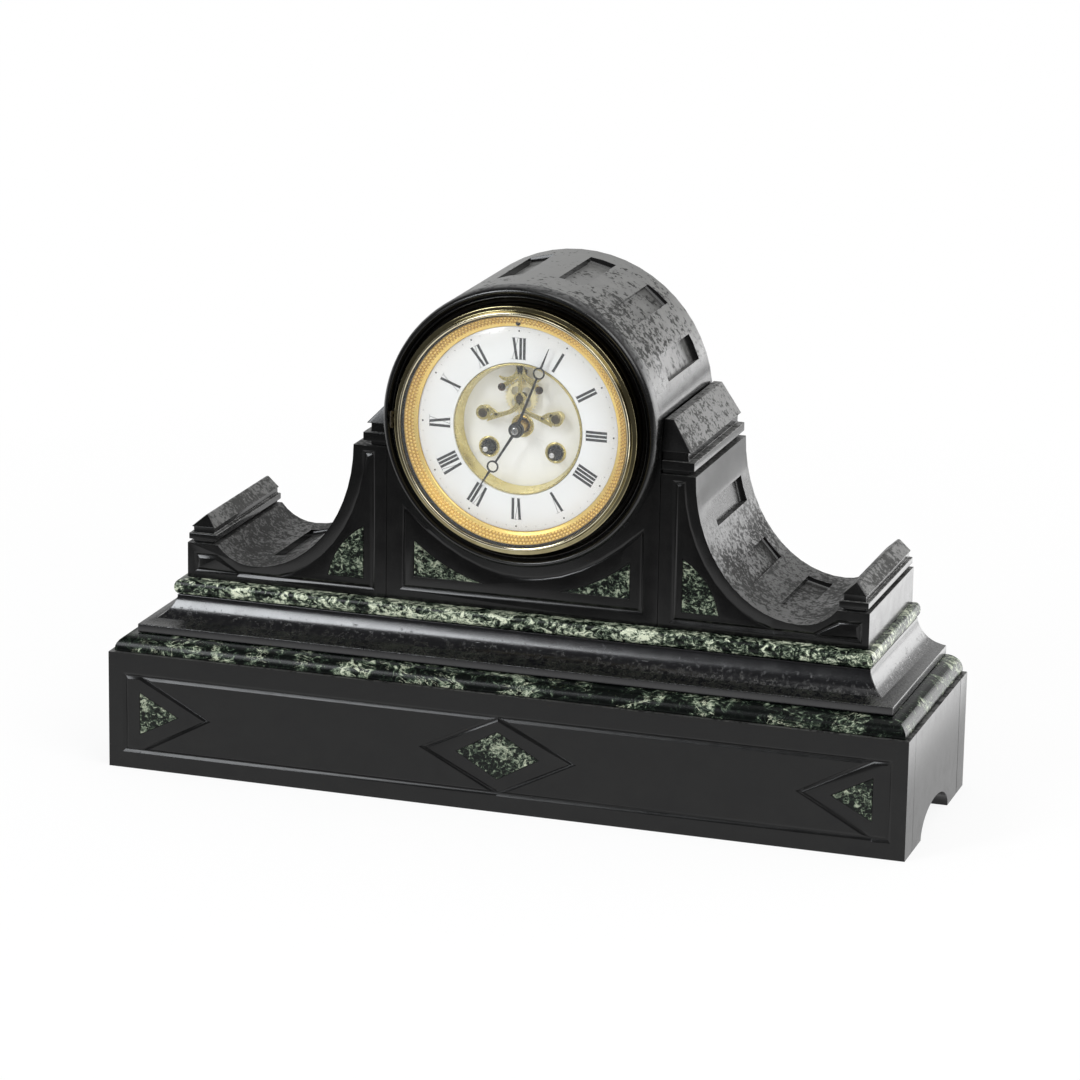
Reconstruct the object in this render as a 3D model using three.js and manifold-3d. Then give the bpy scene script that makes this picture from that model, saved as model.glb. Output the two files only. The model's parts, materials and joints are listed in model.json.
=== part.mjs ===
import * as THREE from 'three';
import { mergeVertices } from 'three/addons/utils/BufferGeometryUtils.js';
import Module from 'manifold-3d';

// Drumhead mantel clock in black slate and green marble, in millimetres.
// Origin at the middle of the underside, X to the right, Y to the back, Z up.

const wasm = await Module();
wasm.setup();

// Overall case
const caseWidth = 460;
const caseDepth = 137;
const bedJoint = 0.3; // gap left in every bed between two stones
const fitGap = 0.3; // gap round a piece let into or set against another

// Plinth
const plinthHeight = 67;
const plinthWall = 16;
const footLength = 37; // length of the foot at each end of the side arch
const archHeight = 15;
const panelSideMargin = 10;
const panelBottomMargin = 11;
const panelTopMargin = 13;
const lozengeHalfWidth = 43;
const triangleReach = 49; // panel side to the apex of the end triangle
const triangleStart = 9; // panel corner to the foot of the triangle's diagonal

// Sunk lines and marble inlays
const grooveWidth = 3.4;
const grooveDepth = 0.9;
const grooveFloor = 0.5;
const inlayThickness = 3.5;
const lozengeInlayHalfWidth = 23.5;
const lozengeInlayHalfHeight = 13.3;
const triangleInlaySide = 9; // panel side to the inlay's upright side
const triangleInlayLength = 22.3;
const triangleInlayHalfHeight = 11.8;

// Stones between the plinth and the body
const lowerSlabHeight = 9;
const lowerSlabInset = 2.6;
const lowerSlabNose = 9.6;
const cavettoHeight = 19.6;
const cavettoInset = 12.5;
const cavettoRun = 17;
const cavettoSag = 3.4; // depth of the hollow below its chord
const cavettoFillet = 5;
const cavettoTopFillet = 1.6;
const upperSlabHeight = 8.4;
const upperSlabInset = 28;
const upperSlabNose = 2.6;
const wellHalfWidth = 30; // pendulum well through the stones
const wellHalfDepth = 11;

// Body stones
const bodySideInset = 32.9; // plinth end to the body's end
const bodySetback = 36.9; // plinth front to the body's front
const dialRise = 106.3; // body base to the dial centre
const wingTopHeight = 86.3;
const wingTopWidth = 19.6;
const wingLowHeight = 10;
const wingTailRun = 20.8; // lowest point of the scroll to the end block
const endBlockWidth = 18;
const endBlockHeight = 20.3;
const recessLength = 14.5; // sunk recesses along the scroll
const recessDepth = 3;
const recessFrontMargin = 26;
const recessBackMargin = 15.5;
const cofferCount = 6;
const cofferPitch = 26.3; // degrees
const cofferWidth = 15;
const cofferDepth = 4;

// Sunk panels on the body's front
const centrePanelSide = 9.6; // block side to the panel's upright line
const centrePanelBottom = 7.8;
const centrePanelStrip = 11.6; // height of the panel under the dial
const centrePanelHeight = 45; // height of the panel at its sides
const spandrelInset = 6.7; // panel line to the inlay
const spandrelInlayWidth = 38;
const spandrelInlayHeight = 20;
const spandrelInlaySag = 2.5;
const wingPanelSide = 8.4; // wing's inner side to its upright line
const wingPanelBottom = 5;
const wingPanelTop = 4.4; // wing's top to the panel's short upper line
const wingPanelBorder = 7; // scroll edge to the curved line
const wingInlayInset = 5.2;
const wingInlayHeight = 29.5;
const wingInlayWidth = 20.5;
const wingInlaySag = 4;
const endPanelHeight = 8.5;
const endPanelMargin = 5.5;
const endPanelSlant = 13;

// Capping stones
const capBaseWidth = 18.6;
const capRecess = 2;
const capBaseHeight = 2.4;
const capFilletHeight = 5;
const capNeckHeight = 5.2;
const upperCapRise = 16.8;
const upperCapTop = 5; // flat strip beside the drum
const leftCapWidth = 14; // the left cap is the smaller one
const leftCapRise = 12;
const leftCapTop = 1;
const upperCapHip = 5;
const endCapInset = 0.8; // end block's side to the cap's fillet
const endCapRise = 6;
const endCapHip = 7;
const endCapRidge = 1.2; // width of the flat along the ridge
const endCapBaseHeight = 1.8;
const endCapFilletHeight = 3.6;
const endCapNeckHeight = 3.4;

// Dial, slip ring, bezel and stone ring, built outwards from the enamel
const dialRadius = 57;
const slipWidth = 6.6;
const slipRise = 5.6; // enamel to the slip ring's outer edge
const bezelWidth = 5.3;
const bezelLip = 1;
const bezelWall = 3.4;
const bezelDepth = 9.2;
const bezelRimRise = 3.4; // flat band of the bezel to its raised rim
const ringGap = 0.5;
const ringWidth = 8.7;
const ringProud = 9.6;
const boreClear = 5; // enamel edge to the bore in the drum
const glassThickness = 1.8;
const glassDome = 5.6;
const dialProud = 9.7; // dial in front of the body
const enamelThickness = 1.8;
const recessedCentreDepth = 9;
const innerRingRadius = 36.4;
const innerRingWidth = 2.6;
const mountFlange = 3;
const mountRise = 8.6;
const strapWidth = 10;
const strapThickness = 2;
const hingeRadius = 1.2;
const hingeReach = 1.5; // bezel edge to the hinge axis
const hingeLength = 9;
const hingePinRadius = 0.45;

// Hands
const minuteHandLength = 50;
const minuteMoonAt = 35;
const hourHandLength = 42;
const hourMoonAt = 25.7;
const moonRadius = 3.4;
const moonBand = 0.9;
const handThickness = 0.7;
const handHubRadius = 4.2;
const minuteHandAngle = 21; // degrees from twelve, clockwise
const hourHandAngle = 211.75;

// Movement
const plateRadius = 46;
const plateThickness = 2.5;
const motionSpace = 9.5; // dial centre to the front plate
const pillarRadius = 3;
const pillarInset = 4.5;
const arborRadius = 1.2;
const pivotRadius = 0.8;
const pivotPlay = 0.3;
const windingSpread = 19;
const windingDrop = 13.5;
const windingArborRadius = 2;
const windingSquare = 3.2;
const barrelClear = 0.6; // between the two great wheels and the middle
const barrelWall = 1.2;
const springThickness = 0.9;
const springTurns = 3;
const escapeRise = 16.6;
const escapeRadius = 9.6;
const escapeTeeth = 30;
const palletAbove = 13.4; // escape arbor to the pallet arbor
const stoneRadius = 1.3;
const stoneAngle = 25.5; // degrees above the escape wheel's level
const stoneClear = 0.95;
const bridgeFootX = 20.8;
const bridgeFootZ = 6.8;
const bridgeFootRadius = 3.2;
const bridgeThickness = 1.3;
const escapeProud = 2.6; // escape wheel in front of the dial centre
const crutchLength = 34;
const vaneReach = 6;

// Wheel work: every wheel drives an eight-leaf pinion
const pinionLeaves = 8;
const wheelTeeth = 32;
const thirdTeeth = 30;
const minuteTeeth = 24;
const hourTeeth = 32;
const secondModule = 0.72;
const thirdModule = 0.66;
const escapeModule = 0.58;
const motionModule = 0.75;
const flyModule = 0.58;
const toothAddendum = 0.9;
const toothDedendum = 1.15;

// Pendulum, bell and back of the case
const pendulumGap = 6; // back plate to the pendulum
const pendulumLength = 125;
const rodRadius = 1.4;
const bobRadius = 18;
const bobThickness = 9;
const nutRadius = 4;
const nutHeight = 4;
const bellGap = 7.5; // pendulum to the bell's mouth
const bellRadius = 33;
const bellDepth = 14.5;
const bellWall = 1.5;
const bellDrop = 4;
const bellTail = 4;
const hammerHeadRadius = 4;
const hammerGap = 1.8;
const rearClear = 3;
const rearRebate = 7;
const rearLip = 4;
const rearRingThickness = 3.4;
const doorThickness = 1.5;
const doorKnobRadius = 3;
const regulatorRadius = 1.2;
const cockAbove = 6; // pallet arbor to the foot of the suspension cock

// Places worked out from the sizes above
const caseFront = -caseDepth / 2;
const caseBack = caseDepth / 2;
const halfWidth = caseWidth / 2;
const lowerSlabBase = plinthHeight;
const cavettoBase = lowerSlabBase + lowerSlabHeight;
const upperSlabBase = cavettoBase + cavettoHeight;
const bodyBase = upperSlabBase + upperSlabHeight;
const bodyFront = caseFront + bodySetback;
const bodyHalf = halfWidth - bodySideInset;
const dialHeight = bodyBase + dialRise;
const slipRadius = dialRadius + slipWidth;
const bezelRadius = slipRadius + fitGap + bezelWidth;
const bezelBore = bezelRadius - bezelWall;
const ringBore = bezelRadius + ringGap;
const drumRadius = ringBore + ringWidth;
const boreRadius = dialRadius + boreClear;
const rearRingRadius = boreRadius + rearLip;
const dialFront = bodyFront - dialProud;
const dialBack = dialFront + enamelThickness;
const centreFront = dialFront + recessedCentreDepth;
const centreBack = centreFront + enamelThickness;
const plateFront = centreBack + motionSpace;
const trainFront = plateFront + plateThickness;
const rearInner = caseBack - rearRebate;
const bellCrown = rearInner - rearClear - bellTail;
const bellMouth = bellCrown - bellDepth;
const pendulumY = bellMouth - bellGap;
const plateBack = pendulumY - pendulumGap;
const trainBack = plateBack - plateThickness;
const mountFront = bodyFront - bedJoint - mountRise;
const bezelBack = mountFront - 0.7;
const bezelFront = bezelBack - bezelDepth;
const palletRise = escapeRise + palletAbove;
const regulatorRise = dialRadius + fitGap + 0.6 + regulatorRadius;

const roundSides = 40; // facets round the dial and the drum's ring

const radians = (degrees) => degrees * Math.PI / 180;
const polar = (radius, angle, [x, z] = [0, 0]) => [
  x + radius * Math.cos(angle),
  z + radius * Math.sin(angle),
];
const mirrored = (points) => points.map(([x, z]) => [-x, z]).reverse();

// Depth inside the movement: 0 at the front plate, 1 at the back plate
const inTrain = (share) => trainFront + share * (trainBack - trainFront);
// Depth in front of the front plate: 0 at the plate, 1 at the dial centre
const inMotion = (share) => plateFront - share * motionSpace;

// Solids from three.js geometry

function signedVolume(position, index) {
  const a = new THREE.Vector3();
  const b = new THREE.Vector3();
  const c = new THREE.Vector3();
  let volume = 0;
  for (let i = 0; i < index.length; i += 3) {
    a.fromBufferAttribute(position, index[i]);
    b.fromBufferAttribute(position, index[i + 1]);
    c.fromBufferAttribute(position, index[i + 2]);
    volume += a.dot(b.cross(c));
  }
  return volume;
}

function solid(geometry) {
  geometry.deleteAttribute('normal');
  geometry.deleteAttribute('uv');
  const merged = mergeVertices(geometry, 1e-4);
  const position = merged.getAttribute('position');
  const corners = Array.from(merged.index.array);
  const triangles = [];
  for (let i = 0; i < corners.length; i += 3) {
    const [a, b, c] = corners.slice(i, i + 3);
    if (a !== b && b !== c && a !== c) triangles.push(a, b, c);
  }
  if (signedVolume(position, triangles) < 0) triangles.reverse();
  return new wasm.Manifold(new wasm.Mesh({
    numProp: 3,
    vertProperties: new Float32Array(position.array),
    triVerts: new Uint32Array(triangles),
  }));
}

const join = (first, ...others) => others.reduce((whole, piece) => whole.add(piece), first);
const cut = (first, ...others) => others.reduce((whole, piece) => whole.subtract(piece), first);

function box([x0, x1], [y0, y1], [z0, z1]) {
  const geometry = new THREE.BoxGeometry(x1 - x0, y1 - y0, z1 - z0);
  return solid(geometry.translate((x0 + x1) / 2, (y0 + y1) / 2, (z0 + z1) / 2));
}

const shapeOf = (points) => new THREE.Shape(points.map(([u, v]) => new THREE.Vector2(u, v)));

// Outline in X and Z, carried along Y
function prismY(points, y0, y1) {
  const geometry = new THREE.ExtrudeGeometry(shapeOf(points), { depth: y1 - y0, bevelEnabled: false });
  return solid(geometry.rotateX(Math.PI / 2).translate(0, y1, 0));
}

// Outline in Y and Z, carried along X
function prismX(points, x0, x1) {
  const geometry = new THREE.ExtrudeGeometry(shapeOf(points), { depth: x1 - x0, bevelEnabled: false });
  return solid(geometry.rotateX(Math.PI / 2).rotateZ(Math.PI / 2).translate(x0, 0, 0));
}

// Profile of [radius, y] turned about a line along Y through [x, z]
function turned(profile, sides, [x, z] = [0, 0]) {
  const points = profile.map(([radius, y]) => new THREE.Vector2(radius, y));
  return solid(new THREE.LatheGeometry(points, sides).translate(x, 0, z));
}

const ring = (profile, sides, centre) => turned([...profile, profile[0]], sides, centre);
const rod = (radius, y0, y1, centre, sides = 10) => turned([[0, y0], [radius, y0], [radius, y1], [0, y1]],
  sides, centre);

function arc([x, z], radiusX, radiusZ, from, to, steps) {
  const points = [];
  for (let i = 0; i <= steps; i += 1) {
    const angle = from + (to - from) * i / steps;
    points.push([x + radiusX * Math.cos(angle), z + radiusZ * Math.sin(angle)]);
  }
  return points;
}

// Arc between two points that bows to the left of the way from one to the other by the sag
function bowed([x0, z0], [x1, z1], sag, steps) {
  const chord = Math.hypot(x1 - x0, z1 - z0);
  const points = [];
  for (let i = 0; i <= steps; i += 1) {
    const t = i / steps;
    const bow = 4 * sag * t * (1 - t);
    const x = x0 + t * (x1 - x0) - bow * (z1 - z0) / chord;
    const z = z0 + t * (z1 - z0) + bow * (x1 - x0) / chord;
    points.push([x, z]);
  }
  return points;
}

// Points moved sideways by a distance, with mitred corners
function offset(points, distance, closed) {
  const count = points.length;
  const normalOf = (i, j) => {
    const dx = points[j][0] - points[i][0];
    const dz = points[j][1] - points[i][1];
    const length = Math.hypot(dx, dz);
    return [dz / length, -dx / length];
  };
  return points.map(([x, z], i) => {
    const before = i > 0 || closed ? normalOf((i + count - 1) % count, i) : normalOf(i, i + 1);
    const after = i < count - 1 || closed ? normalOf(i, (i + 1) % count) : before;
    const scale = distance / (1 + before[0] * after[0] + before[1] * after[1]);
    return [x + scale * (before[0] + after[0]), z + scale * (before[1] + after[1])];
  });
}

// V-shaped cutter for a line sunk into a face that looks along -Y
function groove(points, face, closed = true) {
  const half = grooveFloor / 2;
  const outer = offset(points, half, closed);
  const inner = offset(points, -half, closed);
  let shape = shapeOf([...outer, ...[...inner].reverse()]);
  if (closed) {
    shape = shapeOf(outer);
    shape.holes.push(new THREE.Path(inner.map(([x, z]) => new THREE.Vector2(x, z))));
  }
  const geometry = new THREE.ExtrudeGeometry(shape, {
    depth: grooveDepth,
    bevelThickness: grooveDepth,
    bevelSize: (grooveWidth - grooveFloor) / 2,
    bevelSegments: 1,
  });
  return solid(geometry.rotateX(Math.PI / 2).translate(0, face, 0));
}

// Marble inlay flush with a face that looks along -Y, and the pocket it sits in
const inlay = (points, face) => prismY(points, face, face + inlayThickness);
const pocket = (points, face) => {
  const floor = face + inlayThickness + fitGap;
  return prismY(offset(points, fitGap, true), face - 1, floor);
};

// Stone with one profile on its front and both ends and a flat back.
// The profile is a list of [inset, z] from the bottom up.
function mouldedStone(profile) {
  const front = profile.map(([inset, z]) => [caseFront + inset, z]);
  const top = profile[profile.length - 1][1];
  const base = profile[0][1];
  const side = profile.map(([inset, z]) => [halfWidth - inset, z]);
  const alongX = prismX([...front, [caseBack, top], [caseBack, base]], -halfWidth, halfWidth);
  const alongY = prismY([...side, ...mirrored(side)], caseFront, caseBack);
  return alongX.intersect(alongY);
}

// Group and materials

const clock = new THREE.Group();
const dial = new THREE.Group();
dial.position.z = dialHeight;
clock.add(dial);

const finish = (color, roughness, metalness) => {
  const look = { color, roughness, metalness };
  return new THREE.MeshStandardMaterial(look);
};
const slate = () => finish(0x2b2b2d, 0.45, 0);
const marble = () => finish(0x2c3a2e, 0.35, 0);
const brass = () => finish(0xb8923f, 0.35, 1);
const gilt = () => finish(0xd9ab4e, 0.3, 1);
const steel = () => finish(0x8d9096, 0.3, 1);
const blued = () => finish(0x20232d, 0.3, 1);
const enamel = () => finish(0xf2f1ec, 0.15, 0);

function add(parent, name, shape, material) {
  const mesh = shape.getMesh();
  const geometry = new THREE.BufferGeometry();
  geometry.setAttribute('position', new THREE.BufferAttribute(new Float32Array(mesh.vertProperties), 3));
  geometry.setIndex(new THREE.BufferAttribute(new Uint32Array(mesh.triVerts), 1));
  geometry.computeVertexNormals();
  const piece = new THREE.Mesh(geometry, material);
  piece.name = name;
  parent.add(piece);
  return piece;
}

const bothSides = [['right', 1], ['left', -1]];
const toSide = (points, sign) => (sign > 0 ? points : mirrored(points));
const spanX = (x0, x1, sign) => (sign > 0 ? [x0, x1] : [-x1, -x0]);

// Plinth

function plinth() {
  const panelX = halfWidth - panelSideMargin;
  const panelBottom = panelBottomMargin;
  const panelTop = plinthHeight - panelTopMargin;
  const panelMiddle = (panelBottom + panelTop) / 2;
  const slabBack = caseFront + plinthWall;
  const panel = [[-panelX, panelBottom], [panelX, panelBottom], [panelX, panelTop], [-panelX, panelTop]];
  const lozenge = [[lozengeHalfWidth, panelMiddle], [0, panelTop], [-lozengeHalfWidth, panelMiddle],
    [0, panelBottom]];
  const lozengeInlay = [[lozengeInlayHalfWidth, panelMiddle], [0, panelMiddle + lozengeInlayHalfHeight],
    [-lozengeInlayHalfWidth, panelMiddle], [0, panelMiddle - lozengeInlayHalfHeight]];
  const inlaySide = panelX - triangleInlaySide;
  const triangleInlay = [[inlaySide, panelMiddle - triangleInlayHalfHeight],
    [inlaySide, panelMiddle + triangleInlayHalfHeight], [inlaySide - triangleInlayLength, panelMiddle]];
  const diagonals = [[panelX - triangleStart, panelTop], [panelX - triangleReach, panelMiddle],
    [panelX - triangleStart, panelBottom]];

  const slab = box([-halfWidth, halfWidth], [caseFront, slabBack], [0, plinthHeight]);
  let front = cut(slab, groove(panel, caseFront), groove(lozenge, caseFront),
    pocket(lozengeInlay, caseFront));
  for (const [, sign] of bothSides) {
    front = cut(front, groove(toSide(diagonals, sign), caseFront, false),
      pocket(toSide(triangleInlay, sign), caseFront));
  }
  add(clock, 'plinth_front', front, slate());
  const back = box([-halfWidth, halfWidth], [-slabBack, caseBack], [0, plinthHeight]);
  add(clock, 'plinth_back', back, slate());
  add(clock, 'plinth_lozenge_inlay', inlay(lozengeInlay, caseFront), marble());

  const archHalf = caseDepth / 2 - footLength;
  const endHalf = -slabBack - bedJoint;
  const arch = [[archHalf, -1], ...arc([0, 0], archHalf, archHeight, 0, Math.PI, 16), [-archHalf, -1]];
  for (const [side, sign] of bothSides) {
    const [x0, x1] = spanX(halfWidth - plinthWall, halfWidth, sign);
    const end = box([x0, x1], [-endHalf, endHalf], [0, plinthHeight]);
    add(clock, `plinth_${side}_end`, cut(end, prismX(arch, x0 - 1, x1 + 1)), slate());
    add(clock, `plinth_triangle_inlay_${side}`, inlay(toSide(triangleInlay, sign), caseFront), marble());
  }
}

// Marble slabs and the hollow moulding, with the pendulum well through them

function slabs() {
  const well = box([-wellHalfWidth, wellHalfWidth], [pendulumY - wellHalfDepth, pendulumY + wellHalfDepth],
    [0, dialHeight]);

  const lowerBase = lowerSlabBase + bedJoint;
  const lowerNoseInset = lowerSlabInset + lowerSlabNose;
  const lowerNoseHeight = cavettoBase - lowerBase - 1;
  const lowerProfile = [[lowerSlabInset, lowerBase],
    ...arc([lowerNoseInset, cavettoBase - lowerNoseHeight], lowerSlabNose, lowerNoseHeight, Math.PI,
      Math.PI / 2, 7)];
  add(clock, 'lower_marble_slab', cut(mouldedStone(lowerProfile), well), marble());

  const hollowTop = upperSlabBase - cavettoTopFillet;
  const hollowBase = cavettoBase + cavettoFillet;
  const hollowProfile = [[cavettoInset, cavettoBase + bedJoint],
    ...bowed([cavettoInset, hollowBase], [cavettoInset + cavettoRun, hollowTop], -cavettoSag, 8),
    [cavettoInset + cavettoRun, upperSlabBase]];
  add(clock, 'cavetto_moulding', cut(mouldedStone(hollowProfile), well), slate());

  const upperBase = upperSlabBase + bedJoint;
  const noseHalf = (bodyBase - upperBase) / 2;
  const upperProfile = arc([upperSlabInset + upperSlabNose, upperBase + noseHalf], upperSlabNose, noseHalf,
    1.5 * Math.PI, Math.PI / 2, 8);
  add(clock, 'upper_marble_slab', cut(mouldedStone(upperProfile), well), marble());
}

// Sunk panel with coved ends, to be cut from a face at height zero
function sunkPanel(width, from, to, depth) {
  const run = 1.3 * depth;
  const profile = [[to, depth], [from, depth], ...arc([from + run, 0], run, depth, Math.PI, 1.5 * Math.PI, 4),
    ...arc([to - run, 0], run, depth, 1.5 * Math.PI, 2 * Math.PI, 4)];
  return prismX(profile, -width / 2, width / 2);
}

// Centre arch with the drum

function drum() {
  const base = bodyBase + bedJoint;
  const outline = [[-drumRadius, base], [drumRadius, base],
    ...arc([0, dialHeight], drumRadius, drumRadius, 0, Math.PI, 28)];
  const centre = [0, dialHeight];
  let block = cut(prismY(outline, bodyFront, caseBack),
    rod(boreRadius, bodyFront - 1, caseBack + 1, centre, 40),
    rod(rearRingRadius + fitGap, rearInner, caseBack + 1, centre, 40),
    box([-wellHalfWidth, wellHalfWidth], [pendulumY - wellHalfDepth, pendulumY + wellHalfDepth],
      [bodyBase, dialHeight]));

  const cofferFrom = bodyFront + recessFrontMargin;
  const cofferTo = caseBack - recessBackMargin;
  for (let i = 0; i < cofferCount; i += 1) {
    const turn = cofferPitch * (i - (cofferCount - 1) / 2);
    const sunk = sunkPanel(cofferWidth, cofferFrom, cofferTo, cofferDepth).translate([0, 0, drumRadius]);
    block = cut(block, sunk.rotate([0, turn, 0]).translate([0, 0, dialHeight]));
  }

  const panelX = drumRadius - centrePanelSide;
  const panelBottom = bodyBase + centrePanelBottom;
  const panelTop = panelBottom + centrePanelHeight;
  const sag = centrePanelHeight - centrePanelStrip;
  const panel = [[-panelX, panelBottom], [panelX, panelBottom],
    ...bowed([panelX, panelTop], [-panelX, panelTop], sag, 12)];
  block = cut(block, groove(panel, bodyFront));

  const cornerX = panelX - spandrelInset;
  const cornerZ = panelBottom + spandrelInset;
  const spandrel = [[cornerX, cornerZ],
    ...bowed([cornerX, cornerZ + spandrelInlayHeight], [cornerX - spandrelInlayWidth, cornerZ],
      spandrelInlaySag, 6)];
  for (const [side, sign] of bothSides) {
    const points = toSide(spandrel, sign);
    block = cut(block, pocket(points, bodyFront));
    add(clock, `spandrel_inlay_${side}`, inlay(points, bodyFront), marble());
  }
  add(clock, 'drum_block', block, slate());

  // Stone ring round the bezel: a cove, a bead and an outer roll
  const face = bodyFront - bedJoint;
  const at = (share, height) => [ringBore + share * ringWidth, face - height * ringProud];
  const profile = [at(0, 0), at(0, 0.44), at(0.22, 0.48), at(0.34, 0.62), at(0.38, 0.78), at(0.46, 0.84),
    at(0.57, 0.7), at(0.62, 0.84), at(0.76, 1), at(0.9, 0.94), at(1, 0.6), at(1, 0)];
  add(clock, 'drum_ring', ring(profile, roundSides, centre), slate());
}

// Scrolled side stones

function wings() {
  const inner = drumRadius + bedJoint;
  const base = bodyBase + bedJoint;
  const top = bodyBase + wingTopHeight;
  const low = bodyBase + wingLowHeight;
  const endTop = bodyBase + endBlockHeight;
  const endX = bodyHalf - endBlockWidth;
  const lowX = endX - wingTailRun;
  const rise = endTop - low;
  const tailRadius = (wingTailRun ** 2 + rise ** 2) / (2 * rise);
  const tailAngle = Math.asin(wingTailRun / tailRadius);
  const scrollX = lowX - inner - wingTopWidth;
  const scrollZ = top - low;
  const tail = arc([lowX, low + tailRadius], tailRadius, tailRadius, tailAngle - Math.PI / 2,
    -Math.PI / 2, 5);
  const scroll = arc([lowX, top], scrollX, scrollZ, 1.5 * Math.PI, Math.PI, 14);
  const outline = [[inner, base], [bodyHalf, base], [bodyHalf, endTop], ...tail, ...scroll.slice(1),
    [inner, top]];

  const panelX = inner + wingPanelSide;
  const panelBottom = bodyBase + wingPanelBottom;
  const panelTop = top - wingPanelTop;
  const lineX = scrollX + wingPanelBorder;
  const lineZ = scrollZ + wingPanelBorder;
  const lineTop = Math.asin((top - panelTop) / lineZ);
  const lineEnd = Math.asin((top - panelBottom) / Math.max(lineZ, top - panelBottom));
  const panel = [...arc([lowX, top], lineX, lineZ, Math.PI + lineEnd, Math.PI + lineTop, 9),
    [panelX, panelTop], [panelX, panelBottom]];
  const endLine = bodyHalf - endPanelMargin;
  const endPanel = [[endX - endPanelSlant, panelBottom], [endLine, panelBottom],
    [endLine, panelBottom + endPanelHeight], [endX + 1, panelBottom + endPanelHeight]];
  const baseLine = [[panelX, panelBottom], [endX - endPanelSlant, panelBottom]];

  const inlayX = panelX + wingInlayInset;
  const inlayZ = panelBottom + wingInlayInset;
  const inlayShape = [[inlayX, inlayZ], ...bowed([inlayX + wingInlayWidth, inlayZ],
    [inlayX, inlayZ + wingInlayHeight], -wingInlaySag, 6)];

  const recessFrom = bodyFront + recessFrontMargin;
  const recessTo = caseBack - recessBackMargin;
  const recesses = [20, 50, 80].map((degrees) => {
    const angle = radians(degrees);
    const tilt = Math.atan2(scrollZ * Math.cos(angle), scrollX * Math.sin(angle));
    return sunkPanel(recessLength, recessFrom, recessTo, recessDepth).rotate([0, tilt * 180 / Math.PI, 0])
      .translate([lowX - scrollX * Math.cos(angle), 0, top - scrollZ * Math.sin(angle)]);
  });

  for (const [side, sign] of bothSides) {
    const place = (points) => toSide(points, sign);
    let wing = cut(prismY(place(outline), bodyFront, caseBack), groove(place(panel), bodyFront, false),
      groove(place(baseLine), bodyFront, false), groove(place(endPanel), bodyFront),
      pocket(place(inlayShape), bodyFront));
    for (const sunk of recesses) {
      wing = cut(wing, sign > 0 ? sunk : sunk.mirror([1, 0, 0]));
    }
    add(clock, `wing_${side}`, wing, slate());
    add(clock, `wing_inlay_${side}`, inlay(place(inlayShape), bodyFront), marble());
  }
}

// Capping stones: a recess, a fillet, a second recess and a sloped roof

function upperCap(width, rise, strip) {
  const inner = drumRadius + bedJoint;
  const outer = inner + width;
  const base = bodyBase + wingTopHeight + bedJoint;
  const filletBase = base + capBaseHeight;
  const neckBase = filletBase + capFilletHeight;
  const roofBase = neckBase + capNeckHeight;
  const roofTop = roofBase + rise;
  const eaves = outer - capRecess;
  const stem = eaves - capRecess;
  const sideOutline = [[inner, base], [stem, base], [stem, filletBase], [outer, filletBase],
    [outer, neckBase], [stem, neckBase], [stem, roofBase], [eaves, roofBase], [inner + strip, roofTop],
    [inner, roofTop]];
  const front = bodyFront;
  const step = front + capRecess;
  const frontOutline = [[step, base], [step, filletBase], [front, filletBase], [front, neckBase],
    [step, neckBase], [step, roofBase], [front, roofBase], [front + upperCapHip, roofTop],
    [caseBack, roofTop], [caseBack, base]];
  return prismY(sideOutline, front, caseBack).intersect(prismX(frontOutline, inner, outer));
}

function upperCaps() {
  const right = upperCap(capBaseWidth, upperCapRise, upperCapTop);
  const left = upperCap(leftCapWidth, leftCapRise, leftCapTop);
  add(clock, 'upper_cap_right', right, slate());
  add(clock, 'upper_cap_left', left.mirror([1, 0, 0]), slate());
}

function endCaps() {
  const outer = bodyHalf - endCapInset;
  const inner = bodyHalf - endBlockWidth + endCapInset;
  const middle = (inner + outer) / 2;
  const base = bodyBase + endBlockHeight + bedJoint;
  const filletBase = base + endCapBaseHeight;
  const neckBase = filletBase + endCapFilletHeight;
  const roofBase = neckBase + endCapNeckHeight;
  const ridge = roofBase + endCapRise;
  const half = (outer - inner) / 2;
  const halfProfile = [[half - capRecess, base], [half - capRecess, filletBase], [half, filletBase],
    [half, neckBase], [half - capRecess, neckBase], [half - capRecess, roofBase],
    [half - capRecess / 2, roofBase], [endCapRidge / 2, ridge]];
  const sideOutline = [...halfProfile, ...mirrored(halfProfile)].map(([x, z]) => [middle + x, z]);
  const front = bodyFront;
  const step = front + capRecess;
  const frontOutline = [[step, base], [step, filletBase], [front, filletBase], [front, neckBase],
    [step, neckBase], [step, roofBase], [front + capRecess / 2, roofBase], [front + endCapHip, ridge],
    [caseBack, ridge], [caseBack, base]];
  const cap = prismY(sideOutline, front, caseBack).intersect(prismX(frontOutline, inner, outer));
  add(clock, 'end_cap_right', cap, slate());
  add(clock, 'end_cap_left', cap.mirror([1, 0, 0]), slate());
}

// Dial and bezel, about the dial centre

const hingeX = -(bezelRadius + hingeReach);
const bezelFlat = bezelFront + bezelRimRise;
const hingeY = bezelFlat + hingeRadius + 0.2;

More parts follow.
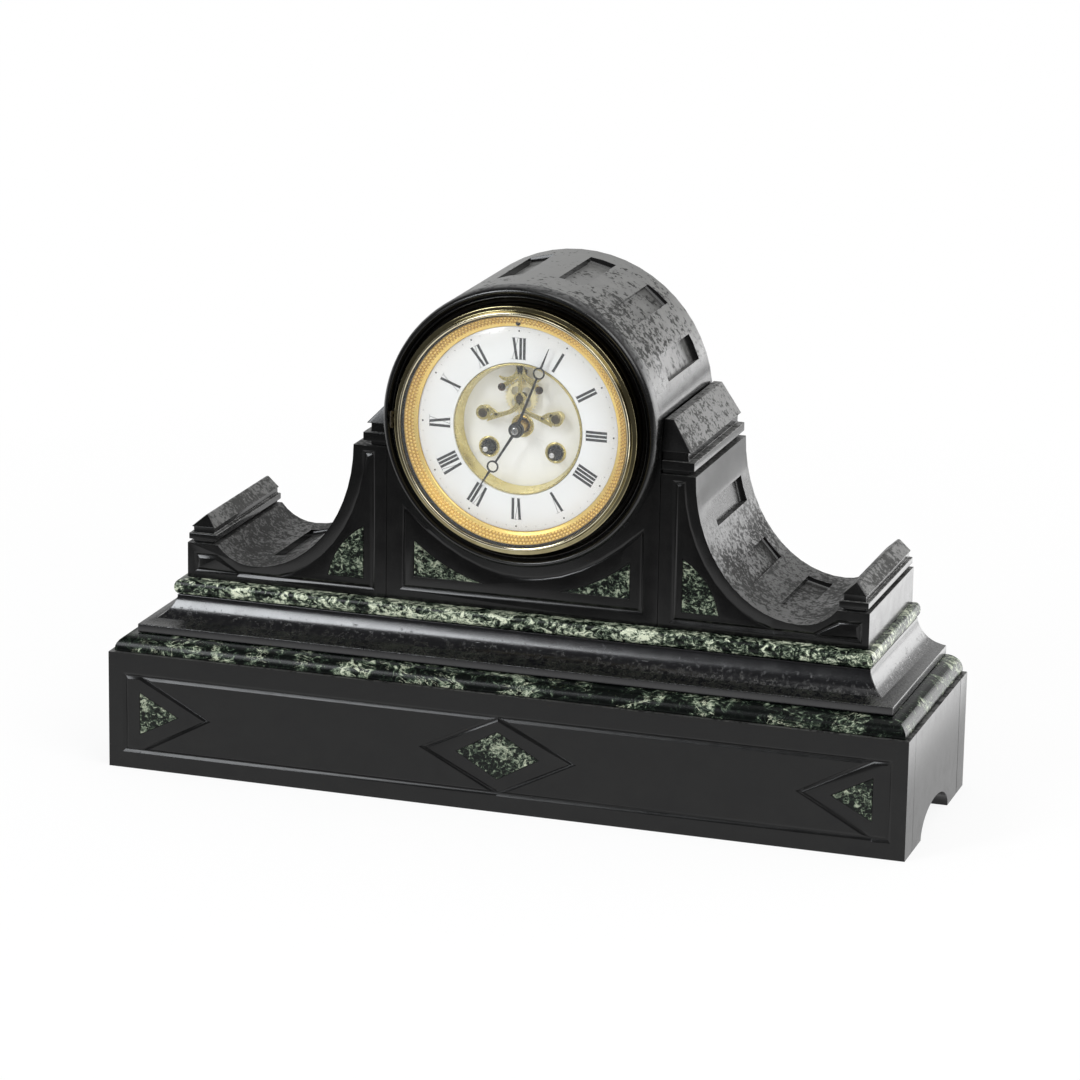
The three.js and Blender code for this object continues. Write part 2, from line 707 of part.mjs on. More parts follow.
function dialAndBezel() {
  const flangeBack = bodyFront - bedJoint;
  const flangeFront = flangeBack - mountFlange;
  const riserBore = slipRadius + 0.5;
  const flangeBore = regulatorRise + regulatorRadius + fitGap;
  const mountRadius = bezelRadius - fitGap;
  const mountProfile = [[flangeBore, flangeBack], [mountRadius, flangeBack], [mountRadius, mountFront],
    [riserBore, mountFront], [riserBore, flangeFront], [flangeBore, flangeFront]];
  const strapOut = boreRadius - 1.2;
  const straps = bothSides.map(([, sign]) => join(
    box(spanX(strapOut - strapThickness, strapOut, sign), [flangeFront, rearInner - fitGap],
      [-strapWidth / 2, strapWidth / 2]),
    box(spanX(strapOut - strapThickness, riserBore + 1, sign), [flangeFront, flangeBack],
      [-strapWidth / 2, strapWidth / 2]),
  ));
  const hingeHalf = hingeLength / 2;
  const knuckle = hingeLength / 5;
  const lugs = [[knuckle, hingeHalf], [-hingeHalf, -knuckle]].map((span) => join(
    box([hingeX - hingeRadius, -mountRadius + 1.5], [mountFront, mountFront + 1.7], span),
    box([hingeX - hingeRadius, hingeX + hingeReach - 0.5], [hingeY, mountFront + 1.7], span),
    solid(new THREE.CylinderGeometry(hingeRadius, hingeRadius, span[1] - span[0], 12)
      .rotateX(Math.PI / 2).translate(hingeX, hingeY, (span[0] + span[1]) / 2)),
  ));
  const pin = box([hingeX - hingePinRadius, hingeX + hingePinRadius],
    [hingeY - hingePinRadius, hingeY + hingePinRadius], [-hingeHalf, hingeHalf]);
  add(dial, 'dial_mount_ring', join(ring(mountProfile, roundSides), ...straps, ...lugs, pin), brass());

  const slipBack = flangeFront - fitGap;
  const slipProfile = [[dialRadius, dialFront - fitGap], [slipRadius, dialFront - slipRise],
    [slipRadius, slipBack], [slipRadius - 1.2, slipBack], [slipRadius - 1.2, dialFront - 1.2],
    [dialRadius + 0.5, dialFront - fitGap]];
  const regulatorHole = rod(regulatorRadius + fitGap, dialFront - 6, flangeBack, [0, regulatorRise], 10);
  add(dial, 'slip_ring', cut(ring(slipProfile, roundSides), regulatorHole), gilt());

  const lipRadius = slipRadius + bezelLip;
  const lipBack = bezelFront + 0.8;
  const rimOuter = bezelBore + 0.7;
  const bezelProfile = [[lipRadius, lipBack], [lipRadius, bezelFront + 0.4], [lipRadius + 0.7, bezelFront],
    [rimOuter - 0.4, bezelFront + 0.2], [rimOuter, lipBack], [rimOuter + 0.3, bezelFlat],
    [bezelRadius - 0.8, bezelFlat], [bezelRadius, bezelFlat + 0.8], [bezelRadius, bezelBack],
    [bezelBore, bezelBack], [bezelBore, lipBack]];
  const tab = join(
    box([hingeX, -bezelRadius + 0.8], [hingeY - hingeRadius, hingeY + hingeRadius],
      [fitGap - knuckle, knuckle - fitGap]),
    box([hingeX - hingeRadius, hingeX], [hingeY - hingeRadius, hingeY + hingeRadius],
      [fitGap - knuckle, knuckle - fitGap]),
  );
  const pinHoleHalf = hingePinRadius * Math.SQRT2 + 0.15;
  const pinHole = box([hingeX - pinHoleHalf, hingeX + pinHoleHalf],
    [hingeY - pinHoleHalf, hingeY + pinHoleHalf], [-hingeLength, hingeLength]);
  add(dial, 'bezel', join(ring(bezelProfile, roundSides), cut(tab, pinHole)), brass());

  const glassRadius = bezelBore - fitGap;
  const glassFront = lipBack + 0.6;
  const domeSteps = 4;
  const glassProfile = [];
  for (let i = 0; i <= domeSteps; i += 1) {
    const share = i / domeSteps;
    const dome = glassDome * (1 - share * share);
    glassProfile.push([glassRadius * share, glassFront - dome]);
  }
  for (let i = domeSteps; i >= 0; i -= 1) {
    const share = i / domeSteps;
    const dome = glassDome * (1 - share * share);
    glassProfile.push([glassRadius * share, glassFront + glassThickness - dome]);
  }
  add(dial, 'bezel_glass', turned(glassProfile, roundSides), finish(0xdfe8ea, 0.05, 0));

  const chapterProfile = [[innerRingRadius + fitGap, dialFront], [dialRadius + 0.6, dialFront],
    [dialRadius + 0.6, dialBack], [innerRingRadius + fitGap, dialBack]];
  const feet = [30, 150, 270].map((degrees) => rod(1.2, dialBack - 0.5, plateFront - fitGap,
    polar(plateRadius - 4, radians(degrees)), 8));
  add(dial, 'dial_chapter_ring', join(ring(chapterProfile, roundSides), ...feet), enamel());

  const innerFoot = centreFront - fitGap;
  const innerProfile = [[innerRingRadius - innerRingWidth, innerFoot], [innerRingRadius, innerFoot],
    [innerRingRadius, dialFront - 0.6], [innerRingRadius - 0.9, dialFront - 0.6]];
  add(dial, 'dial_inner_ring', ring(innerProfile, roundSides), gilt());

  const holes = [[0, 0, 4.2], [windingSpread, -windingDrop, 3.4], [-windingSpread, -windingDrop, 3.4],
    [0, escapeRise, 2.2], [0, palletRise, 2.2]];
  const plate = rod(innerRingRadius - 0.2, centreFront, centreBack, [0, 0], roundSides);
  const bored = holes.map(([x, z, radius]) => rod(radius, centreFront - 1, centreBack + 1, [x, z], 14));
  add(dial, 'dial_centre', cut(plate, ...bored), enamel());
}

// Hands: straight blued blades with an open moon

const hourHandY = dialFront - 1.2;
const minuteHandY = hourHandY - handThickness - 1;
const minutePipeRadius = 1.6;
const hourPipeBore = 2;
const hourPipeRadius = 3.1;

function hand(length, moonAt, y, bore) {
  const blade = [[-0.8, 0], [0.8, 0], [0.45, moonAt], [0.12, length], [-0.12, length], [-0.45, moonAt]];
  const moonCentre = [0, moonAt];
  const [y0, y1] = [y - handThickness, y];
  const body = join(prismY(blade, y0, y1), rod(handHubRadius, y0, y1, [0, 0], 16),
    rod(moonRadius, y0, y1, moonCentre, 16));
  return cut(body, rod(bore, y0 - 1, y1 + 1, [0, 0], 12),
    rod(moonRadius - moonBand, y0 - 1, y1 + 1, moonCentre, 16));
}

function hands() {
  const hour = add(dial, 'hour_hand',
    hand(hourHandLength, hourMoonAt, hourHandY, hourPipeRadius + fitGap), blued());
  hour.rotation.y = radians(hourHandAngle);
  const minute = add(dial, 'minute_hand',
    hand(minuteHandLength, minuteMoonAt, minuteHandY, minutePipeRadius + fitGap), blued());
  minute.rotation.y = radians(minuteHandAngle);
  const back = minuteHandY - handThickness - fitGap;
  const colletBore = minutePipeRadius + fitGap;
  const collet = [[colletBore, back], [3.4, back], [3, back - 0.7], [colletBore, back - 1]];
  add(dial, 'hand_collet', ring(collet, 16), steel());
}

// Wheel work

const centre = [0, 0];
const goingAt = [windingSpread, -windingDrop];
const strikeAt = [-windingSpread, -windingDrop];
const escapeAt = [0, escapeRise];
const palletAt = [0, palletRise];
const barrelModule = (windingSpread - barrelClear) / (wheelTeeth / 2 + toothAddendum);
const meshDistance = (teeth, module) => (teeth + pinionLeaves) * module / 2;

// Point at one distance from a and another from b, on the left of the way from a to b
function meetingPoint(a, fromA, b, fromB) {
  const [dx, dz] = [b[0] - a[0], b[1] - a[1]];
  const gap = Math.hypot(dx, dz);
  const along = (fromA ** 2 - fromB ** 2 + gap ** 2) / (2 * gap);
  const aside = Math.sqrt(fromA ** 2 - along ** 2);
  return [a[0] + (along * dx - aside * dz) / gap, a[1] + (along * dz + aside * dx) / gap];
}

const secondAt = meetingPoint(centre, meshDistance(wheelTeeth, secondModule), goingAt,
  meshDistance(wheelTeeth, barrelModule));
const thirdAt = meetingPoint(centre, meshDistance(wheelTeeth, thirdModule), escapeAt,
  meshDistance(thirdTeeth, escapeModule));
const minuteAt = [meshDistance(minuteTeeth, motionModule), 0];
const hourModule = 2 * minuteAt[0] / (hourTeeth + pinionLeaves);
const pinWheelAt = polar(meshDistance(wheelTeeth, barrelModule), radians(122), strikeAt);
const flyAt = polar(meshDistance(thirdTeeth, flyModule), radians(69), pinWheelAt);
const hammerAt = polar(plateRadius - 2.2, radians(240));
const bellAt = [0, -bellDrop];
const headAt = polar(bellRadius + hammerGap + hammerHeadRadius, radians(195), bellAt);
const angleTo = (from, to) => Math.atan2(to[1] - from[1], to[0] - from[0]);

function gear(at, teeth, module, phase, y0, y1) {
  const pitch = teeth * module / 2;
  const tip = pitch + toothAddendum * module;
  const root = pitch - toothDedendum * module;
  const step = 2 * Math.PI / teeth;
  const points = [];
  for (let i = 0; i < teeth; i += 1) {
    points.push(polar(tip, phase + i * step, at), polar(root, phase + (i + 0.5) * step, at));
  }
  return prismY(points, y0, y1);
}

// A wheel points a tooth at its pinion, and the pinion turns a space to the wheel
const wheel = (at, to, teeth, module, y0, y1) => gear(at, teeth, module, angleTo(at, to), y0, y1);
const pinion = (at, to, module, y0, y1) => gear(at, pinionLeaves, module,
  angleTo(at, to) + Math.PI / pinionLeaves, y0, y1);

// Arbor between the plates with a pivot in each
const arbor = (at) => join(rod(arborRadius, inTrain(0.01), inTrain(0.99), at, 8),
  rod(pivotRadius, plateFront + 0.4, plateBack - 0.4, at, 8));

function train() {
  add(dial, 'second_wheel', join(arbor(secondAt),
    pinion(secondAt, goingAt, barrelModule, inTrain(0.58), inTrain(0.74)),
    wheel(secondAt, centre, wheelTeeth, secondModule, inTrain(0.85), inTrain(0.9))), brass());

  const pipeFront = minuteHandY - handThickness - 1.6;
  add(dial, 'centre_wheel', join(rod(arborRadius, inTrain(0), inTrain(0.99), centre, 8),
    rod(pivotRadius, trainBack - 1, plateBack - 0.4, centre, 8),
    pinion(centre, secondAt, secondModule, inTrain(0.81), inTrain(0.94)),
    wheel(centre, thirdAt, wheelTeeth, thirdModule, inTrain(0.755), inTrain(0.795)),
    pinion(centre, minuteAt, motionModule, inMotion(0.34), inMotion(0.06)),
    rod(minutePipeRadius, pipeFront, inTrain(0), centre, 12)), brass());

  add(dial, 'third_wheel', join(arbor(thirdAt),
    pinion(thirdAt, centre, thirdModule, inTrain(0.73), inTrain(0.82)),
    wheel(thirdAt, escapeAt, thirdTeeth, escapeModule, inTrain(0.17), inTrain(0.22))), brass());

  const minuteWheel = join(
    wheel(minuteAt, centre, minuteTeeth, motionModule, inMotion(0.28), inMotion(0.12)),
    pinion(minuteAt, centre, hourModule, inMotion(0.78), inMotion(0.28)),
  );
  const studHole = rod(pivotRadius + pivotPlay, inMotion(1), inMotion(0), minuteAt, 8);
  add(dial, 'minute_wheel', cut(minuteWheel, studHole), brass());

  const hourWheel = join(wheel(centre, minuteAt, hourTeeth, hourModule, inMotion(0.7), inMotion(0.5)),
    rod(hourPipeRadius, hourHandY - handThickness - 0.3, inMotion(0.45), centre, 14));
  const pipeHole = rod(hourPipeBore, hourHandY - 9, inMotion(0), centre, 14);
  add(dial, 'hour_wheel', cut(hourWheel, pipeHole), brass());
}

// Spring barrels with their winding arbors and coiled mainsprings

function barrel(name, at, towards) {
  const root = barrelModule * (wheelTeeth / 2 - toothDedendum);
  const drumOuter = root - 0.6;
  const shell = join(rod(drumOuter, inTrain(0.1), inTrain(0.66), at, 24),
    wheel(at, towards, wheelTeeth, barrelModule, inTrain(0.62), inTrain(0.7)));
  const inside = drumOuter - barrelWall;
  const arborHole = windingArborRadius + pivotPlay;
  add(dial, `${name}_barrel`, cut(shell, rod(inside, inTrain(0.1) - 1, inTrain(0.6), at, 24),
    rod(arborHole, inTrain(0), inTrain(1), at, 12)), brass());

  const ratchet = [];
  const ratchetTeeth = 12;
  for (let i = 0; i < ratchetTeeth; i += 1) {
    const angle = i * 2 * Math.PI / ratchetTeeth;
    ratchet.push(polar(6.8, angle, at), polar(5.6, angle + 0.06, at));
  }
  const square = windingSquare / 2;
  add(dial, `${name}_winding_arbor`, join(rod(windingArborRadius, plateFront - 2, inTrain(0.99), at, 12),
    rod(pivotRadius, trainBack - 1, plateBack - 0.4, at, 8),
    prismY(ratchet, inTrain(0.02), inTrain(0.07)),
    box([at[0] - square, at[0] + square], [dialFront + 2, plateFront - 1],
      [at[1] - square, at[1] + square])), steel());

  const start = windingArborRadius + 1.4;
  const steps = Math.round(springTurns * 12);
  const coil = [];
  for (let i = 0; i <= steps; i += 1) {
    const radius = start + (inside - 0.6 - springThickness - start) * i / steps;
    coil.push(polar(radius, 2 * Math.PI * springTurns * i / steps, at));
  }
  const outward = coil.map(([x, z]) => {
    const angle = angleTo(at, [x, z]);
    const radius = Math.hypot(x - at[0], z - at[1]) + springThickness;
    return polar(radius, angle, at);
  });
  const spring = prismY([...coil, ...outward.reverse()], inTrain(0.13), inTrain(0.58));
  add(dial, `${name}_mainspring`, spring, steel());
}

function strikeTrain() {
  const pinCircle = 6.5;
  const pins = [];
  for (let i = 0; i < 6; i += 1) {
    pins.push(rod(0.8, inTrain(0.77), inTrain(0.86), polar(pinCircle, i * Math.PI / 3, pinWheelAt), 5));
  }
  add(dial, 'pin_wheel', join(arbor(pinWheelAt),
    pinion(pinWheelAt, strikeAt, barrelModule, inTrain(0.58), inTrain(0.74)),
    wheel(pinWheelAt, flyAt, thirdTeeth, flyModule, inTrain(0.745), inTrain(0.79)), ...pins), brass());

  const vane = box([flyAt[0] - vaneReach, flyAt[0] + vaneReach], [inTrain(0.3), inTrain(0.56)],
    [flyAt[1] - 0.5, flyAt[1] + 0.5]);
  add(dial, 'fly', join(arbor(flyAt),
    pinion(flyAt, pinWheelAt, flyModule, inTrain(0.72), inTrain(0.81)), vane), brass());
}

// Bar with round ends between two points
function bar(from, to, width, y0, y1) {
  const along = angleTo(from, to);
  const start = arc(from, width / 2, width / 2, along + Math.PI / 2, along + 1.5 * Math.PI, 4);
  const end = arc(to, width / 2, width / 2, along - Math.PI / 2, along + Math.PI / 2, 4);
  return prismY([...start, ...end], y0, y1);
}

function strikeWork() {
  const armFront = plateBack + 1.2;
  const tailFront = inTrain(0.81);
  const tailEnd = polar(10, radians(212), pinWheelAt);
  add(dial, 'hammer', join(rod(arborRadius, trainFront + 0.3, armFront + 2, hammerAt, 8),
    rod(pivotRadius, plateFront + 0.4, trainFront + 1, hammerAt, 8),
    bar(hammerAt, tailEnd, 2.5, tailFront, inTrain(0.86)),
    bar(hammerAt, headAt, 3, armFront, armFront + 2),
    rod(hammerHeadRadius, armFront, bellMouth + 6, headAt, 14)), steel());

  const at = (share, depth) => [bellRadius * share, bellCrown - bellDepth * depth];
  const outer = [at(1, 1), at(0.98, 0.72), at(0.88, 0.38), at(0.67, 0.12), at(0.36, 0.015)];
  const tailRadius = 1.8;
  const boltHole = tailRadius + 0.4;
  const inner = outer.map(([radius, y], i) => [
    radius - bellWall * (i < 3 ? 1 : 0.6),
    y - (i > 0 ? bellWall * 0.9 : 0),
  ]);
  const profile = [...outer, [boltHole, bellCrown], [boltHole, bellCrown - bellWall], ...inner.reverse()];
  add(dial, 'bell', ring(profile, 24, bellAt), brass());

  const postAt = [bellRadius * 0.4, -bellDrop];
  const armY = bellCrown - bellWall - 4;
  add(dial, 'bell_stand', join(rod(2, plateBack + fitGap, armY, postAt, 10),
    bar(postAt, bellAt, 3.6, armY - 2.4, armY),
    rod(tailRadius, armY - 2, bellCrown + bellTail, bellAt, 10),
    rod(4, bellCrown + 0.6, bellCrown + 2.6, bellAt, 6)), steel());
}

// Plates

const pillarPlaces = [40, 140, 250, 290].map((degrees) => polar(plateRadius - pillarInset, radians(degrees)));

function plates() {
  const pivotHole = (at) => rod(pivotRadius + pivotPlay, plateFront - 1, plateBack + 1, at, 8);
  const shaftHole = (at, radius) => rod(radius + pivotPlay, plateFront - 1, plateBack + 1, at, 12);
  const pivots = [secondAt, thirdAt, pinWheelAt, flyAt].map(pivotHole);
  const disc = (y0, y1) => rod(plateRadius, y0, y1, centre, 36);

  const lugReach = boreRadius - 1.2 - strapThickness - fitGap;
  const lugs = bothSides.map(([, sign]) => box(spanX(plateRadius - 6, lugReach, sign),
    [plateFront, trainFront], [-4, 4]));
  const pillars = pillarPlaces.map((at) => rod(pillarRadius, trainFront - 0.5, trainBack - fitGap, at, 8));
  const stud = rod(pivotRadius, inMotion(0.85), plateFront + 1, minuteAt, 8);
  const frontDisc = cut(join(disc(plateFront, trainFront), ...lugs), ...pivots, pivotHole(hammerAt),
    shaftHole(centre, minutePipeRadius), shaftHole(goingAt, windingArborRadius),
    shaftHole(strikeAt, windingArborRadius), shaftHole(escapeAt, arborRadius),
    shaftHole(palletAt, arborRadius));
  add(dial, 'front_plate', join(frontDisc, ...pillars, stud), brass());

  const backDisc = cut(disc(trainBack, plateBack), ...pivots, pivotHole(centre), pivotHole(goingAt),
    pivotHole(strikeAt), pivotHole(escapeAt), shaftHole(palletAt, arborRadius),
    shaftHole(hammerAt, arborRadius));
  add(dial, 'back_plate', backDisc, brass());
}

// Visible escapement in the sunk dial centre

const escapeY = centreFront - escapeProud;
const palletY = escapeY - 1.2;
const bridgeY = palletY - 1.6;

function escapement() {
  const teeth = [];
  const pitch = 2 * Math.PI / escapeTeeth;
  for (let i = 0; i < escapeTeeth; i += 1) {
    teeth.push(polar(escapeRadius, i * pitch, escapeAt),
      polar(escapeRadius * 0.84, (i + 0.25) * pitch, escapeAt));
  }
  const rim = prismY(teeth, escapeY - 0.9, escapeY);
  const windows = [0, 1, 2, 3].map((i) => rod(escapeRadius * 0.3, escapeY - 2, escapeY + 1,
    polar(escapeRadius * 0.46, radians(45 + 90 * i), escapeAt), 8));
  add(dial, 'escape_wheel', join(cut(rim, ...windows),
    rod(arborRadius, bridgeY + 0.2, inTrain(0.99), escapeAt, 8),
    rod(pivotRadius, trainBack - 1, plateBack - 0.4, escapeAt, 8),
    pinion(escapeAt, thirdAt, escapeModule, inTrain(0.12), inTrain(0.28))), brass());

  const reach = escapeRadius + stoneClear + stoneRadius;
  const stoneAt = [stoneAngle, 180 - stoneAngle].map((degrees) => polar(reach, radians(degrees), escapeAt));
  const crutchFront = plateBack + 1;
  const crutchBottom = palletRise - crutchLength;
  const prong = rodRadius + 0.4;
  add(dial, 'pallets', join(rod(arborRadius, bridgeY + 0.2, crutchFront + 1.4, palletAt, 8),
    ...stoneAt.map((at) => bar(palletAt, at, 2.4, palletY - 1.3, palletY)),
    ...stoneAt.map((at) => rod(stoneRadius, palletY - 1.3, escapeY + 0.4, at, 8)),
    box([-1.2, 1.2], [crutchFront, crutchFront + 1.4], [crutchBottom, palletRise]),
    box([-prong - 1.6, prong + 1.6], [crutchFront, crutchFront + 1.4],
      [crutchBottom - 2, crutchBottom + 0.5]),
    ...bothSides.map(([, sign]) => box(spanX(prong, prong + 1.6, sign), [crutchFront, pendulumY + rodRadius],
      [crutchBottom - 2, crutchBottom + 0.5]))), steel());

  const feet = bothSides.map(([, sign]) => [sign * bridgeFootX, bridgeFootZ]);
  add(dial, 'escapement_bridge', join(rod(3, bridgeY - bridgeThickness, bridgeY, escapeAt, 14),
    bar(escapeAt, palletAt, 2.6, bridgeY - bridgeThickness, bridgeY),
    ...feet.map((at) => bar(escapeAt, at, 3, bridgeY - bridgeThickness, bridgeY)),
    ...feet.map((at) => rod(bridgeFootRadius, bridgeY - bridgeThickness, centreFront - fitGap, at, 14)),
  ), gilt());
}

// Suspension, regulator and pendulum

function suspension() {
  const cockTop = regulatorRise + regulatorRadius + 1.1;
  const cockBase = palletRise + cockAbove;
  const cock = box([-3.5, 3.5], [plateBack + fitGap, pendulumY + 3], [cockBase, cockTop]);
  const spring = box([-3, 3], [pendulumY - 0.25, pendulumY + 0.25], [palletRise + 0.4, cockBase + 1]);
  add(dial, 'suspension_cock', cut(join(cock, spring),
    rod(regulatorRadius + pivotPlay, plateBack - 1, pendulumY + 1, [0, regulatorRise], 10)), brass());
  const regulator = rod(regulatorRadius, dialFront - 1.2, pendulumY + 0.5, [0, regulatorRise], 8);
  add(dial, 'regulator_arbor', regulator, steel());

  const bobAt = palletRise - pendulumLength;
  const rodEnd = bobAt - bobRadius - nutHeight - 3;
  const upright = (radius, z0, z1, sides) => {
    const geometry = new THREE.CylinderGeometry(radius, radius, z1 - z0, sides);
    return solid(geometry.rotateX(Math.PI / 2).translate(0, pendulumY, (z0 + z1) / 2));
  };
  add(dial, 'pendulum_rod', join(upright(rodRadius, rodEnd, palletRise - 2, 10),
    box([-3.5, 3.5], [pendulumY - 1.5, pendulumY + 1.5], [palletRise - 4.5, palletRise - 0.3])), steel());

  const half = bobThickness / 2;
  const bobShape = [[0, -1], [0.6, -0.85], [1, -0.3], [1, 0.3], [0.6, 0.85], [0, 1]];
  const bobProfile = bobShape.map(([out, along]) => [bobRadius * out, pendulumY + half * along]);
  add(dial, 'pendulum_bob', cut(turned(bobProfile, 28, [0, bobAt]),
    upright(rodRadius + fitGap, bobAt - 2 * bobRadius, bobAt + 2 * bobRadius, 10)), brass());

  const nutTop = bobAt - bobRadius - 0.8;
  add(dial, 'rating_nut', cut(upright(nutRadius, nutTop - nutHeight, nutTop, 12),
    upright(rodRadius + fitGap, nutTop - 2 * nutHeight, nutTop + 1, 10)), brass());
}

// Round brass door at the back

function rearDoor() {
  const lipBack = rearInner + 1.6;
  const ringBack = rearInner + rearRingThickness;
  const seat = boreRadius - 1.7;
  const profile = [[boreRadius - 5, rearInner], [rearRingRadius, rearInner], [rearRingRadius, ringBack],
    [seat, ringBack], [seat, lipBack], [boreRadius - 5, lipBack]];
  const doorRadius = seat - fitGap;
  const doorFront = lipBack + fitGap;
  const hinge = [seat + 2, doorFront + doorThickness / 2];
  const knuckle = 3;
  const notch = box([seat - 0.5, seat + 4], [rearInner + 0.9, ringBack + 1], [-knuckle, knuckle]);
  const pin = box([hinge[0] - 0.5, hinge[0] + 0.5], [hinge[1] - 0.5, hinge[1] + 0.5],
    [-knuckle - 1, knuckle + 1]);
  add(dial, 'rear_ring', join(cut(ring(profile, roundSides), notch), pin), brass());

  const tab = box([doorRadius - 1, hinge[0] + 1.1], [doorFront, doorFront + doorThickness],
    [fitGap - knuckle, knuckle - fitGap]);
  const pinHole = box([hinge[0] - 0.72, hinge[0] + 0.72], [hinge[1] - 0.72, hinge[1] + 0.72], [-9, 9]);
  const knobAt = [-doorRadius * 0.82, 0];
  const plate = rod(doorRadius, doorFront, doorFront + doorThickness, centre, roundSides);
  const knob = rod(doorKnobRadius, doorFront + 1, caseBack - 0.5, knobAt, 12);
  add(dial, 'rear_door', cut(join(plate, tab, knob), pinHole), brass());
}

plinth();
slabs();
drum();
wings();
upperCaps();
endCaps();
dialAndBezel();
hands();
train();
barrel('going', goingAt, secondAt);
barrel('strike', strikeAt, pinWheelAt);
strikeTrain();
strikeWork();
plates();
escapement();
suspension();
rearDoor();

export default clock;
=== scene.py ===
import json
import math

import bmesh
import bpy
from mathutils import Matrix, Vector


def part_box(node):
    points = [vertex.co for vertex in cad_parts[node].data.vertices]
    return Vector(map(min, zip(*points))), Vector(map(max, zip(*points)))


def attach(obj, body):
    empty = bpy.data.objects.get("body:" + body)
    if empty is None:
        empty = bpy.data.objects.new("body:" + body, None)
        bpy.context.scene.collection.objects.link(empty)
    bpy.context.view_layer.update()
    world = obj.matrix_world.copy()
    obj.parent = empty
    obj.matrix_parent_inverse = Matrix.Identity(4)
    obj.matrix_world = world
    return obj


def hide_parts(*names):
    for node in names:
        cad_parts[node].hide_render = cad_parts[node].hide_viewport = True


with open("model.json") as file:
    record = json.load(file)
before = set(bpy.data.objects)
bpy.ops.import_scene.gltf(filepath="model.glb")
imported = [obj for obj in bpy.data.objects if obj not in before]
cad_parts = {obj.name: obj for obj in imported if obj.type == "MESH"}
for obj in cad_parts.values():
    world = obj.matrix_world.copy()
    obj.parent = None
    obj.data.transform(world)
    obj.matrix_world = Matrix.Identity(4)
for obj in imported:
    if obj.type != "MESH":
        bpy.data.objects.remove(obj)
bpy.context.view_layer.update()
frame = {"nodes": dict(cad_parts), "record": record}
nodes = frame["nodes"]

MM = 0.001
TAU = 2 * math.pi
WELD_DISTANCE, SOLID_WELD = 1e-7, 1e-6


def span(node):
    """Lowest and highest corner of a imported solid, in millimetres."""
    low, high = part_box(node)
    return low / MM, high / MM


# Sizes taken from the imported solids, in millimetres
RING_LOW, RING_HIGH = span("drum_ring")
DIAL_Z = (RING_LOW.z + RING_HIGH.z) / 2
RING_OUTER = RING_HIGH.z - DIAL_Z
BEZEL_FRONT, BEZEL_BACK = (corner.y for corner in span("bezel"))
BEZEL_RADIUS = span("bezel")[1].z - DIAL_Z
BEZEL_CLEARANCE = 0.5
RING_BORE = BEZEL_RADIUS + BEZEL_CLEARANCE
SLIP_RADIUS = span("slip_ring")[1].z - DIAL_Z
SLIP_EDGE, SLIP_BACK = (corner.y for corner in span("slip_ring"))
DIAL_FRONT = span("dial_chapter_ring")[0].y
DIAL_FEET = span("dial_chapter_ring")[1].y
CENTRE_FRONT, CENTRE_BACK = (corner.y for corner in span("dial_centre"))
HOUR_HAND_BACK = span("hour_hand")[1].y
MINUTE_HAND_BACK = span("minute_hand")[1].y
BRIDGE_FRONT = span("escapement_bridge")[0].y
REAR_RING_FRONT, REAR_RING_BACK = (corner.y for corner in span("rear_ring"))
REAR_RING_RADIUS = span("rear_ring")[1].z - DIAL_Z
DOOR_FRONT, KNOB_BACK = (corner.y for corner in span("rear_door"))
DOOR_RADIUS = span("rear_door")[1].z - DIAL_Z

# Sizes of the dial, in millimetres about its centre
DIAL_RADIUS = 57.0
WINDING_HOLES = ((19.0, -13.5), (-19.0, -13.5))
ESCAPE_RISE = 16.6
PALLET_X, PALLET_Z = 10.7, 21.7
FOOT_X, FOOT_Z = 20.8, 6.8
REGULATOR_RISE = 59.1

# Sides of the turned pieces, and the angles in degrees past which their edges stay sharp
RING_SIDES, DIAL_SIDES, GLASS_SIDES = 240, 200, 160
COLLAR_SIDES, COLLET_SIDES, HUB_SIDES, BOSS_SIDES = 64, 48, 40, 36
STUD_SIDES, SCREW_SIDES, PIN_SIDES = 28, 24, 16
SHARP, SHARP_BLADE, SHARP_TURNED, SHARP_ROLL = 35.0, 30, 40, 50


# Meshes

DOME_RINGS = ((1.0, -0.15), (0.72, 0.62))  # share of the radius, share of the height
MITRE_LIMIT = 0.25


